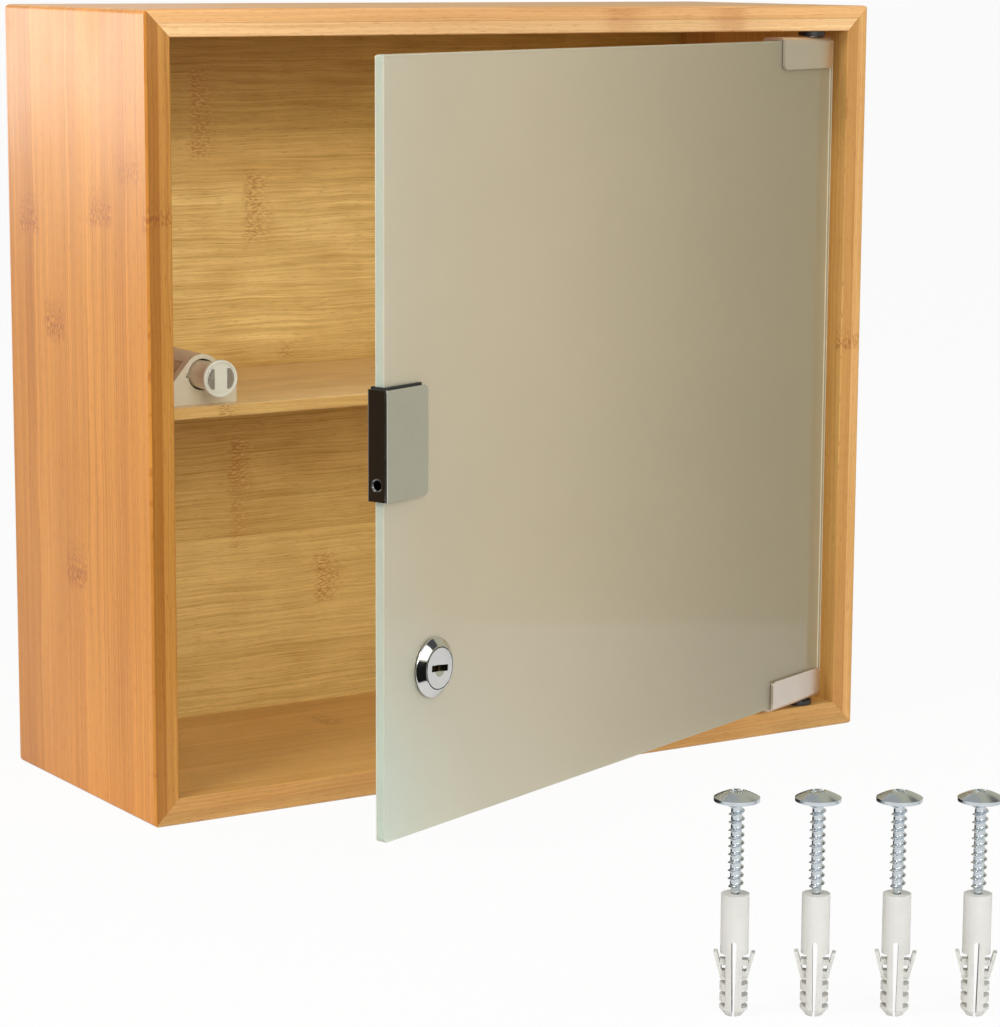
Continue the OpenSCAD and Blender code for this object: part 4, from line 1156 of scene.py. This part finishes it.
@dataclass
class Carcass:
    """Four mitred boards, the back panel, the shelf, and what holds them together."""

    soft_edge: float = 0.15
    # The tints below and above each board's ply plane paint the light and shade on its front edge.
    side: Bamboo = Bamboo(
        "bamboo left side", Grain.UPRIGHT, strip=20.0, shift=0.1, run=0.3, contrast=0.9,
        ply_plane=(SIZES.board - SIZES.width) / 2,
        light=from_screen(243, 167, 74), dark=from_screen(192, 117, 38), mark=from_screen(182, 104, 40),
        below_plane_shading=(0.49, 0.47, 0.34), above_plane_shading=(0.64, 0.71, 0.76),
        knuckles=knuckles(
            (214.7, 41.8, 10, 19, 1.0), (221.5, -21.3, 9, 21, 0.8), (237.7, -45.1, 9, 19, 0.6),
            (222.0, -60.0, 6, 8, 0.7), (176.5, 19.8, 10, 19, 1.0), (84.5, 4.0, 10, 19, 1.0),
        ),
    )
    far_side: Bamboo = Bamboo(
        "bamboo right side", Grain.UPRIGHT, strip=22.0, shift=0.6, run=0.25, contrast=0.8,
        ply_plane=(SIZES.width - SIZES.board) / 2,
        light=from_screen(216, 170, 99), dark=from_screen(177, 125, 61),
        below_plane_shading=(0.90, 0.79, 0.68), above_plane_shading=(1.17, 1.15, 1.28),
        knuckles=knuckles((160.0, -60.0, 5, 9, 0.7), (90.0, -20.0, 8, 20, 0.6), (230.0, 20.0, 8, 20, 0.6)),
    )
    lid: Bamboo = Bamboo(
        "bamboo top", Grain.ACROSS, strip=27.0, shift=0.2, run=0.25, contrast=0.8,
        ply_plane=SIZES.height - SIZES.board / 2,
        below_plane_shading=(1.10, 1.23, 1.38), above_plane_shading=(1.03, 1.02, 0.955),
        knuckles=knuckles((-60, -20, 8, 22, 0.5), (80, 30, 8, 22, 0.5)),
    )
    base: Bamboo = Bamboo(
        "bamboo bottom", Grain.ACROSS, strip=30.0, shift=0.7, run=0.15, contrast=0.8, coat=0.35,
        light=from_screen(235, 192, 115), dark=from_screen(191, 139, 67), ply_plane=SIZES.board / 2,
        below_plane_shading=(0.76, 0.69, 0.64), above_plane_shading=(0.80, 0.70, 0.62),
        knuckles=knuckles((-47, 21, 7, 20, 0.6), (90, -10, 7, 20, 0.6)),
    )
    panel: Bamboo = Bamboo(
        "bamboo back panel", Grain.PANEL, strip=48.0, shift=0.27, contrast=1.0, gloss=0.40, run=0.06,
        light=from_screen(238, 203, 122), dark=from_screen(190, 146, 69), mark=from_screen(176, 112, 48),
        # Painted light in the upper compartment, painted shade under the top board and in the lower
        # compartment.
        painted_light_zones=(
            (192.0, 34.0, (1.2, 1.3, 1.55)), (275.0, 30.0, (0.76, 0.73, 0.60)),
            (78.0, 70.0, (0.91, 0.92, 0.96)),
        ),
        knuckles=knuckles(
            (-59.4, 217.0, 8, 30, 0.62), (-84.0, 255.0, 8, 40, 0.62), (-67.4, 112.0, 7, 26, 0.62),
            (-67.6, 88.0, 5, 24, 0.4), (-27.9, 62.0, 8, 22, 0.7), (-43.8, 158.0, 7, 8, 0.4),
            (60.0, 190.0, 8, 30, 0.6), (30.0, 40.0, 8, 30, 0.6), (110.0, 120.0, 8, 30, 0.6),
        ),
    )
    # The shelf's tint above its plane covers its whole front face: painted shade.
    rack: Bamboo = Bamboo(
        "bamboo shelf", Grain.ACROSS, strip=35.0, shift=0.5, run=0.05, coat=0.6, ply_plane=0.0,
        light=from_screen(248, 222, 166), dark=from_screen(205, 168, 107), above_plane_shading=(0.80, 0.66, 0.42),
        knuckles=knuckles((-124.0, -43.0, 5, 10, 0.5), (40.0, 0.0, 8, 26, 0.6)),
    )
    spline: Bamboo = Bamboo("bamboo spline", Grain.ACROSS, strip=8.0, light=from_screen(196, 146, 92))

    def build(self) -> None:
        """Makes and dresses the carcass."""
        for node, slot, finish in (
            ("left_side", "bamboo_side", self.side), ("right_side", "bamboo_side", self.far_side),
            ("top_board", "bamboo_end", self.lid), ("bottom_board", "bamboo_end", self.base),
            ("back_panel", "bamboo_panel", self.panel), ("shelf", "bamboo_panel", self.rack),
        ):
            soften(node, "lacquered", self.soft_edge, "cabinet", finish)
        keep("corner_splines", self.spline)
        keep("panel_pins", STEEL)


@dataclass
class Pivots:
    """Black bushes in the boards and the steel pins that turn in them."""

    flange_r: float = 5.5
    flange: float = 2.0
    body_r: float = 4.0
    depth: float = 7.0
    bore_r: float = 2.55
    pin_edge: float = 0.3

    def bush(self, name: str, up: bool) -> Piece:
        """A bush with a rolled flange.

        Args:
            name: Name of the piece.
            up: True for the upper bush.

        Returns:
            The new object.
        """
        profile = rounded((
            (self.bore_r, -self.flange, 0.0), (self.bore_r, -self.flange, 0.0),
            (self.flange_r, -self.flange, 0.5), (self.flange_r, 0.0, 0.15), (self.body_r, 0.0, 0.0),
            (self.body_r, self.depth, 0.3), (self.bore_r, self.depth, 0.0), (self.bore_r, -self.flange, 0.0),
        ))
        level = SIZES.height - SIZES.board
        if not up:
            profile[:, 1] *= -1.0
            level = SIZES.board
        return lathe(name, profile, Placement(origin=(*SIZES.pivot, level)), 48)

    def build(self) -> None:
        """Makes and dresses the pivots."""
        for name, up in (("hinge_bush_upper", True), ("hinge_bush_lower", False)):
            stand_for(self.bush(name + "_moulded", up), "cabinet", BLACK_NYLON, name)
        for name in ("hinge_pin_upper", "hinge_pin_lower"):
            soften(name, "turned", self.pin_edge, "door", STEEL)


@dataclass
class GlassDoor:
    """The glass with its hinge clamps and their liners and grub screws."""

    clamp_edge: float = 0.28
    screw_edge: float = 0.12

    def build(self) -> None:
        """Makes and dresses the door."""
        keep("door_glass", EtchedGlass())
        for node in ("hinge_clamp_upper", "hinge_clamp_lower"):
            soften(node, "bent", self.clamp_edge, "door", SATIN, 3)
        keep("clamp_liners", RUBBER)
        soften("clamp_grub_screws", "cut", self.screw_edge, "door", BLACKENED)


@dataclass
class HandleClip:
    """The chromed clip on the free edge, its liner and its set screw."""

    edge: float = 0.25
    screw_up: float = 139.3
    screw_r: float = 2.3
    screw_face: float = 0.2
    sheet: float = 1.0
    socket_r: float = 1.9
    socket_deep: float = 0.55
    outside: float = -288.3
    clip_y: tuple[float, float] = (-6.6, 2.1)

    def set_screw(self) -> Piece:
        """The set screw's end: a bright rounded rim round a deep socket, darkened with painted shade.

        Returns:
            The new object.
        """
        inner, face = self.socket_r, self.sheet - self.screw_face
        profile = rounded((
            (0.0, 0.0, 0.0), (self.screw_r, 0.0, 0.0), (self.screw_r, face, 0.3), (inner, face, 0.08),
            (inner - 0.15, face - 0.2, 0.0), (inner - 0.3, face - self.socket_deep, 0.0),
            (0.0, face - self.socket_deep, 0.0),
        ))
        bottom = Placement.on_door(self.outside + self.sheet, sum(self.clip_y) / 2, self.screw_up)
        place = Placement(bottom.turn @ Matrix.Rotation(-math.pi / 2, 3, "Y"), bottom.origin)
        screw = lathe("handle_set_screw_turned", profile, place, 48)
        # Painted shade: the socket's inside darkens to near black.
        painted_shade(screw, place, inner - 0.1, (0.0, face))
        return screw

    def build(self) -> None:
        """Makes and dresses the clip."""
        soften("handle_clip", "bent", self.edge, "door", CHROME, 3)
        keep("handle_liner", RUBBER)
        stand_for(self.set_screw(), "door", STEEL, "handle_set_screw")


@dataclass
class CamLock:
    """The lock: housing with its ring, plug, wafers, cam and what clamps it in the glass.

    Gasket and washer are given by back face, front face, radius and rounding.
    """

    ring_back: float = 5.0
    ring_r: float = 10.75
    ring_foot: float = 0.5
    ring_front_r: float = 7.9
    ring_h: float = 2.6
    barrel_r: float = 8.0
    barrel_end: float = -10.0
    thread: float = 1.0
    thread_h: float = 0.35
    bore_r: float = 5.55
    seat: float = 5.9
    seat_r: float = 7.5
    seat_bevel: float = 0.12
    end_bevel: float = 0.4
    thread_stop: float = 0.2
    shade_over: float = 0.15
    nut_edge: float = 0.25
    plug_edge: float = 0.1
    plug_crease: float = 6.0
    cam_edge: float = 0.2
    screw_edge: float = 0.15
    gasket: tuple[float, ...] = (4.4, 5.0, 10.45, 0.2)
    washer: tuple[float, ...] = (-0.6, 0.4, 10.5, 0.25)

    @property
    def place(self) -> Placement:
        """The frame of the lock's axis: Z outwards, Y up."""
        return Placement.on_door(SIZES.lock_x, 0.0, SIZES.lock_z, facing=True)

    def housing(self) -> Piece:
        """The ring and barrel as one turned piece.

        The ring has a straight foot, a flat bevel and a rolled rim. The barrel's grooves stand
        for its thread: its radius is the outer radius less the groove's depth times a triangle
        wave of height over pitch.

        Returns:
            The new object.
        """
        top = self.ring_back + self.ring_h
        outer = rounded((
            (self.barrel_r, self.ring_back, 0.0), (self.ring_r, self.ring_back, 0.2),
            (self.ring_r, self.ring_back + self.ring_foot, 0.35), (self.ring_front_r, top, 0.25),
            (self.seat_r + self.seat_bevel, top, 0.0), (self.seat_r, top - self.seat_bevel, 0.0),
            (self.seat_r, self.seat, 0.0),
        ))
        end, foot = self.barrel_end, self.barrel_r - self.end_bevel
        height = np.arange(end + self.end_bevel, self.ring_back - self.thread_stop, self.thread / 8)
        wave = np.abs((height / self.thread) % 1.0 - 0.5) * 2.0
        thread = np.stack([self.barrel_r - self.thread_h * wave, height], axis=1)
        inner = np.array([[self.bore_r, self.seat], [self.bore_r, end], [foot, end]])
        profile = np.concatenate([outer, inner, thread, outer[:1]])
        housing = lathe("lock_housing_turned", profile, self.place, 96)
        # Painted shade: the seat's gap round the plug darkens to near black.
        painted_shade(housing, self.place, self.seat_r + self.shade_over, (self.seat - 0.1, top))
        return housing

    def ring(self, name: str, low: float, high: float, radius: float, roll: float) -> Piece:
        """A flat ring round the barrel.

        Args:
            name: Name of the piece.
            low: Its back face.
            high: Its front face.
            radius: Its outer radius.
            roll: Rounding of its outer edges.

        Returns:
            The new object.
        """
        profile = rounded((
            (self.barrel_r, low, 0.0), (radius, low, roll), (radius, high, roll), (self.barrel_r, high, 0.0),
            (self.barrel_r, low, 0.0),
        ))
        return lathe(name, profile, self.place, 72)

    def build(self) -> None:
        """Makes and dresses the lock."""
        stand_for(self.housing(), "door", CHROME, "lock_housing")
        for node, sizes in (("lock_gasket", self.gasket), ("lock_washer", self.washer)):
            stand_for(self.ring(node + "_moulded", *sizes), "door", RUBBER, node)
        soften("lock_nut", "cut", self.nut_edge, "door", ZINC)
        soften("lock_plug", "milled", self.plug_edge, "lock_rotor", CHROME, crease=self.plug_crease)
        # The wafers' brass is darkened: painted shade.
        keep("lock_wafers", SHADED_BRASS)
        soften("lock_cam", "stamped", self.cam_edge, "lock_rotor", ZINC)
        soften("lock_cam_screw", "cut", self.screw_edge, "lock_rotor", ZINC)


@dataclass
class PushCatch:
    """The magnetic catch on the shelf: housing, spring and plunger."""

    head_r: float = 7.0
    head_back: float = 13.4
    head_front: float = 15.2
    face: float = 14.8
    recess_r: float = 6.0
    wire: float = 0.9
    coil_r: float = 3.65
    coil_from: float = -36.9
    turns: float = 9.0
    turn_steps: int = 28
    travel: float = 12.0
    housing_edge: float = 0.35
    sleeve_edge: float = 0.25
    steel_edge: float = 0.12

    @property
    def place(self) -> Placement:
        """The frame of the catch's axis: Z to the front, Y up."""
        return Placement(Matrix.Rotation(math.pi / 2, 3, "X"), SIZES.catch)

    def head(self) -> Piece:
        """The plunger's head: a disc with a rolled rim and a sunk face.

        Returns:
            The new object.
        """
        profile = rounded((
            (0.0, self.head_back, 0.0), (self.head_r, self.head_back, 0.35),
            (self.head_r, self.head_front, 0.8), (self.recess_r, self.head_front, 0.25),
            (self.recess_r - 0.1, self.face, 0.15), (0.0, self.face, 0.0),
        ))
        return lathe("plunger_head_moulded", profile, self.place, 80)

    def spring(self) -> None:
        """Makes the spring.

        The path is (R cos a, R sin a, z), with z rising evenly with the angle a up to the
        plunger's end of the CAD spring. Its far end stays in place.
        """
        top = SIZES.catch[1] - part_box("catch_spring")[0][1] / MM
        angle = np.linspace(0.0, 2 * np.pi * self.turns, int(self.turns * self.turn_steps) + 1)
        rise = np.linspace(self.coil_from + self.wire / 2, top - self.wire / 2, len(angle))
        coil = wire_along("catch_spring_wound", turned(self.coil_r, rise, angle), self.wire, self.place)
        stand_for(coil, "cabinet", STEEL, "catch_spring")
        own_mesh(coil)

    def build(self) -> None:
        """Makes and dresses the catch."""
        soften("catch_housing", "moulded", self.housing_edge, "cabinet", IVORY, 3)
        soften("catch_screws", "cut", self.steel_edge, "cabinet", ZINC)
        self.spring()
        soften("plunger_sleeve", "moulded", self.sleeve_edge, "catch_plunger", BEIGE)
        stand_for(self.head(), "catch_plunger", HEAD_WHITE, "plunger_head")
        keep("plunger_magnet", FERRITE)
        soften("plunger_pole_plates", "ground", self.steel_edge, "catch_plunger", STEEL)


@dataclass
class WallFixings:
    """Four wafer-head wood screws, each started in its nylon plug."""

    count: int = 4
    first: tuple[float, float] = (-107.7, -343.0)
    step: tuple[float, float] = (20.9, -12.8)
    plug_top: float = 38.0
    plug_edge: float = 0.18
    started: float = 2.63
    length: float = 34.6
    head_r: float = 7.0
    head_h: float = 3.2
    rim: float = 1.2
    rim_round: float = 0.25
    crown_r: float = 2.2
    crown_power: float = 1.35
    core_r: float = 1.7
    thread_r: float = 2.5
    pitch: float = 2.5
    point: float = 5.0
    tip_r: float = 0.25
    cross_span: float = 2.5
    cross_half: float = 0.55
    cross_deep: float = 1.3
    arm_ease: float = 0.18
    span_ease: float = 0.35
    dishing: float = 0.35
    ridge_half: float = 0.2
    ridge_power: float = 0.8
    thread_from: float = 2.4
    thread_rise: float = 3.0
    thread_fall: float = 0.8
    thread_stop: float = 0.4

    @property
    def under(self) -> float:
        """Height of the head's underside above the screw's point."""
        return self.length - self.head_h

    def head(self, name: str, place: Placement) -> Piece:
        """A wafer head: a height over a disc, with a rim below and a cross recess on top.

        The crown falls from the middle to the rim as one less the radius' share to its power.
        The recess is sunk where either cross arm's distance from its own line is under half its
        width and the radius is under its span, both eased, and it gets shallower outwards.

        Args:
            name: Name of the piece.
            place: Where the screw's axis lies.

        Returns:
            The new object.
        """
        angle, r = round_about(96)[None, :], np.linspace(0.0, self.head_r, 46)[:, None]
        top = self.under + self.rim
        share = np.clip((r - self.crown_r) / (self.head_r - self.crown_r), 0.0, 1.0)
        arm = np.minimum(np.abs(r * np.cos(angle)), np.abs(r * np.sin(angle)))
        inside = np.clip((self.cross_half - arm) / self.arm_ease + 0.5, 0.0, 1.0)
        inside = inside * np.clip((self.cross_span - r) / self.span_ease + 0.5, 0.0, 1.0)
        z = top + (self.head_h - self.rim) * (1.0 - share**self.crown_power)
        z = z - self.cross_deep * inside * (1.0 - self.dishing * r / self.cross_span)
        roll = np.linspace(0.0, np.pi / 2, 5)[1:]
        foot = self.under + self.rim_round
        sides = self.head_r - self.rim_round * (1 - np.cos(roll))
        radii = np.concatenate([np.full(3, self.head_r), sides, [self.core_r, 0.0]])
        lower = foot - self.rim_round * np.sin(roll)
        heights = np.concatenate([np.linspace(top, foot, 4)[1:], lower, [self.under, self.under - 0.02]])
        points = np.concatenate([turned(r, z, angle), turned(radii[:, None], heights[:, None], angle)])
        return surface(name, points, place, smooth=40.0)

    def shank(self, name: str, place: Placement) -> Piece:
        """A threaded shank with its point.

        The radius is the core's, plus the thread's height where height over pitch less angle
        over a full turn is near a whole number and a half. Both shrink to nothing at the point.

        Args:
            name: Name of the piece.
            place: Where the screw's axis lies.

        Returns:
            The new object.
        """
        top = self.under + 0.1
        heights = np.concatenate([[0.0], np.arange(0.0, top, self.pitch / 16), [top, top]])
        angle, z = round_about(32)[None, :], heights[:, None]
        core = self.tip_r + (self.core_r - self.tip_r) * np.clip(z / self.point, 0.0, 1.0)
        phase = (z / self.pitch - angle / (2 * np.pi)) % 1.0
        ridge = np.clip(1.0 - np.abs(phase - 0.5) / self.ridge_half, 0.0, 1.0) ** self.ridge_power
        fade = np.clip((z - self.thread_from) / self.thread_rise, 0.0, 1.0)
        fade = fade * np.clip((self.under - self.thread_stop - z) / self.thread_fall, 0.0, 1.0)
        r = core + (self.thread_r - self.core_r) * ridge * fade
        r[0], r[-1] = 0.0, 0.0
        return surface(name, turned(r, z, angle), place, smooth=50.0)

    def build(self) -> None:
        """Makes and dresses the fixings."""
        pieces: list[Piece] = []
        for k in range(self.count):
            x, y = (start + k * step for start, step in zip(self.first, self.step))
            place = Placement(origin=(x, y, self.plug_top - self.started))
            pieces += [self.head(f"screw_head_{k}", place), self.shank(f"screw_shank_{k}", place)]
        stand_for(join("wall_screws_rolled", pieces), "cabinet", ZINC, "wall_screws")
        soften("wall_plugs", "moulded", self.plug_edge, "cabinet", WHITE_NYLON)


@dataclass(frozen=True)
class Lamp:
    """A round lamp: where it is and aims, its width in millimetres, its power in watts and its tint."""

    name: str
    spot: Point
    aim: Point
    size: float
    power: float
    tint: Colour = (1.0, 1.0, 1.0)

    def build(self) -> None:
        """Hangs the lamp."""
        data = bpy.data.lights.new(self.name, "AREA")
        data.shape = "DISK"
        data.size = self.size * MM
        data.energy = self.power
        data.color = self.tint
        lamp = bpy.data.objects.new(self.name, data)
        lamp.location = Vector(self.spot) * MM
        lamp.rotation_euler = (Vector(self.spot) - Vector(self.aim)).to_track_quat("Z", "Y").to_euler()
        bpy.context.scene.collection.objects.link(lamp)


@dataclass(frozen=True)
class Card:
    """A card that only mirrors see: its middle, the way it faces, its width and height, and its glow."""

    name: str
    centre: Point
    facing: Point
    size: tuple[float, float]
    colour: Colour

    def build(self) -> None:
        """Sets the card up: its points are the middle plus s across plus t up, s and t from -1/2 to 1/2."""
        normal = Vector(self.facing).normalized()
        across = Vector((0, 0, 1)).cross(normal).normalized()
        span = np.linspace(-0.5, 0.5, 5)
        s, t = span[None, :, None] * self.size[0], span[:, None, None] * self.size[1]
        points = np.array(self.centre) + s * np.array(across) + t * np.array(normal.cross(across))
        card = surface(self.name, points, Placement(), closed=False)
        material, w, end = empty_material(self.name)
        w.feed(end, w.out(w.set(w.node("Emission"), Color=self.colour)))
        card.data.materials.append(material)
        card.visible_camera = card.visible_diffuse = card.visible_shadow = card.visible_transmission = False


@dataclass
class Studio:
    """Floor, cards, lamps, world and camera."""

    yaw: float = 32.40
    pitch: float = -9.70
    roll: float = 0.28
    eye: Point = (-677.0, -1106.3, 316.4)
    focus_px: float = 3251.8
    frame_px: float = 1027.0
    sensor: float = 36.0
    floor_x: float = 6000.0
    floor_y: tuple[float, float] = (-5000.0, 6000.0)
    bend_y: float = 2500.0
    ambient: float = 0.42
    floor_glow: float = 0.93
    mirror_glow: float = 0.45
    lamps: tuple[Lamp, ...] = (
        Lamp("front", (-700, -2600, 1000), (0, 0, 140), 1500, 33.5),
        Lamp("left", (-700, -250, 900), (-160, 0, 250), 400, 4.7, (1.0, 0.94, 0.88)),
        Lamp("right", (1500, -2000, 900), (0, 0, 120), 1500, 8.0),
    )
    cards: tuple[Card, ...] = (
        Card("right_card", (330, -190, 900), (-0.97, 0.24, 0), (4000, 1800), (0.53, 0.51, 0.39)),
        Card("left_card", (-420, -40, 300), (1, -0.2, 0), (500, 700), (0.035, 0.024, 0.015)),
        Card("front_card", (-200, -240, 50), (0, 1, 0), (400, 90), (0.01, 0.01, 0.01)),
        Card("bend_card", (-195, -215, 140), (0, 1, 0), (130, 50), (0.03, 0.025, 0.015)),
        Card("glare_card", (-560, 690, 345), (0.5, -0.865, 0), (600, 260), (5.0, 4.75, 4.5)),
        Card("ring_card", (80, -634, 374), (-0.3, 0.81, -0.5), (430, 270), (1.6, 1.6, 1.6)),
        Card("patch_card", (238, -330, 389), (-0.68, 0.36, -0.64), (240, 180), (0.08, 0.08, 0.09)),
    )

    def floor(self) -> None:
        """A pale floor that curves up into a backdrop, and glows for the camera, mirrors and glass.

        Its height is zero up to the bend and half the square of the depth, in metres, behind it.
        """
        x = np.linspace(-self.floor_x, self.floor_x, 13)[None, :]
        y = np.linspace(*self.floor_y, 45)[:, None]
        z = np.where(y > self.bend_y, (y - self.bend_y) ** 2 * 0.5 * MM, 0.0)
        points = np.stack(np.broadcast_arrays(x, y, z), axis=-1)
        floor = surface("studio_floor", points, Placement(), closed=False)
        material, w, end = empty_material("pale floor")
        shader = w.node("BsdfPrincipled")
        w.set(shader, Base_Color=(0.86, 0.86, 0.86), Roughness=0.9, Specular_IOR_Level=0.1)
        glow = w.set(w.node("Emission"), Color=(1.0, 1.0, 1.0))
        path, blend = w.node("LightPath"), w.node("MixShader")
        mirrored = w.math("MAXIMUM", w.out(path, "Is Glossy Ray"), w.out(path, "Is Transmission Ray"))
        seen = w.out(path, "Is Camera Ray") * self.floor_glow
        share = w.math("MAXIMUM", mirrored * self.mirror_glow, seen)
        for socket, value in zip(blend.inputs, (share, w.out(shader), w.out(glow))):
            w.feed(socket, value)
        w.feed(end, w.out(blend))
        floor.data.materials.append(material)

    def world(self) -> None:
        """A white surrounding, at full strength for the camera and through glass."""
        world = bpy.data.worlds.new("studio")
        world.use_nodes = True
        world.node_tree.nodes.clear()
        w = Wiring(world.node_tree)
        path = w.node("LightPath")
        seen = w.math("MAXIMUM", w.out(path, "Is Camera Ray"), w.out(path, "Is Transmission Ray"))
        strength = seen.fit(0.0, 1.0, self.ambient, 1.0)
        back = w.set(w.node("Background"), Color=(1.0, 1.0, 1.0), Strength=strength)
        w.set(w.node("OutputWorld"), Surface=w.out(back))
        bpy.context.scene.world = world

    def camera(self) -> None:
        """Sets the camera at the photograph's angle.

        Yaw turns the view from the wall's direction to the right, pitch tips it, and roll
        turns the picture. The focal length is the one in pixels over the picture's longer
        side, times the sensor's.
        """
        yaw, pitch, roll = (math.radians(a) for a in (self.yaw, self.pitch, self.roll))
        look = Vector((math.sin(yaw) * math.cos(pitch), math.cos(yaw) * math.cos(pitch), math.sin(pitch)))
        right = Vector((math.cos(yaw), -math.sin(yaw), 0.0))
        up = right.cross(look)
        side = math.cos(roll) * right + math.sin(roll) * up
        top = -math.sin(roll) * right + math.cos(roll) * up
        data = bpy.data.cameras.new("camera")
        data.sensor_width = self.sensor
        data.lens = self.focus_px / self.frame_px * self.sensor
        data.clip_start, data.clip_end = 0.05, 40.0
        camera = bpy.data.objects.new("camera", data)
        turn = Matrix((side, top, -look)).transposed()
        camera.matrix_world = Matrix.Translation(Vector(self.eye) * MM) @ turn.to_4x4()
        bpy.context.scene.collection.objects.link(camera)
        bpy.context.scene.camera = camera

    def build(self) -> None:
        """Sets up the studio."""
        self.camera()
        self.floor()
        for piece in (*self.cards, *self.lamps):
            piece.build()
        self.world()
        bpy.context.scene.view_settings.view_transform = "Standard"
        LOG.info("studio set")


def main() -> None:
    """Builds the cabinet's looks in order."""
    logging.basicConfig(level=logging.INFO, format="%(name)s: %(message)s")
    for assembly in (Studio, Carcass, Pivots, GlassDoor, HandleClip, CamLock, PushCatch, WallFixings):
        LOG.info("building %s", assembly.__name__)
        assembly().build()


if __name__ == "__main__":
    main()
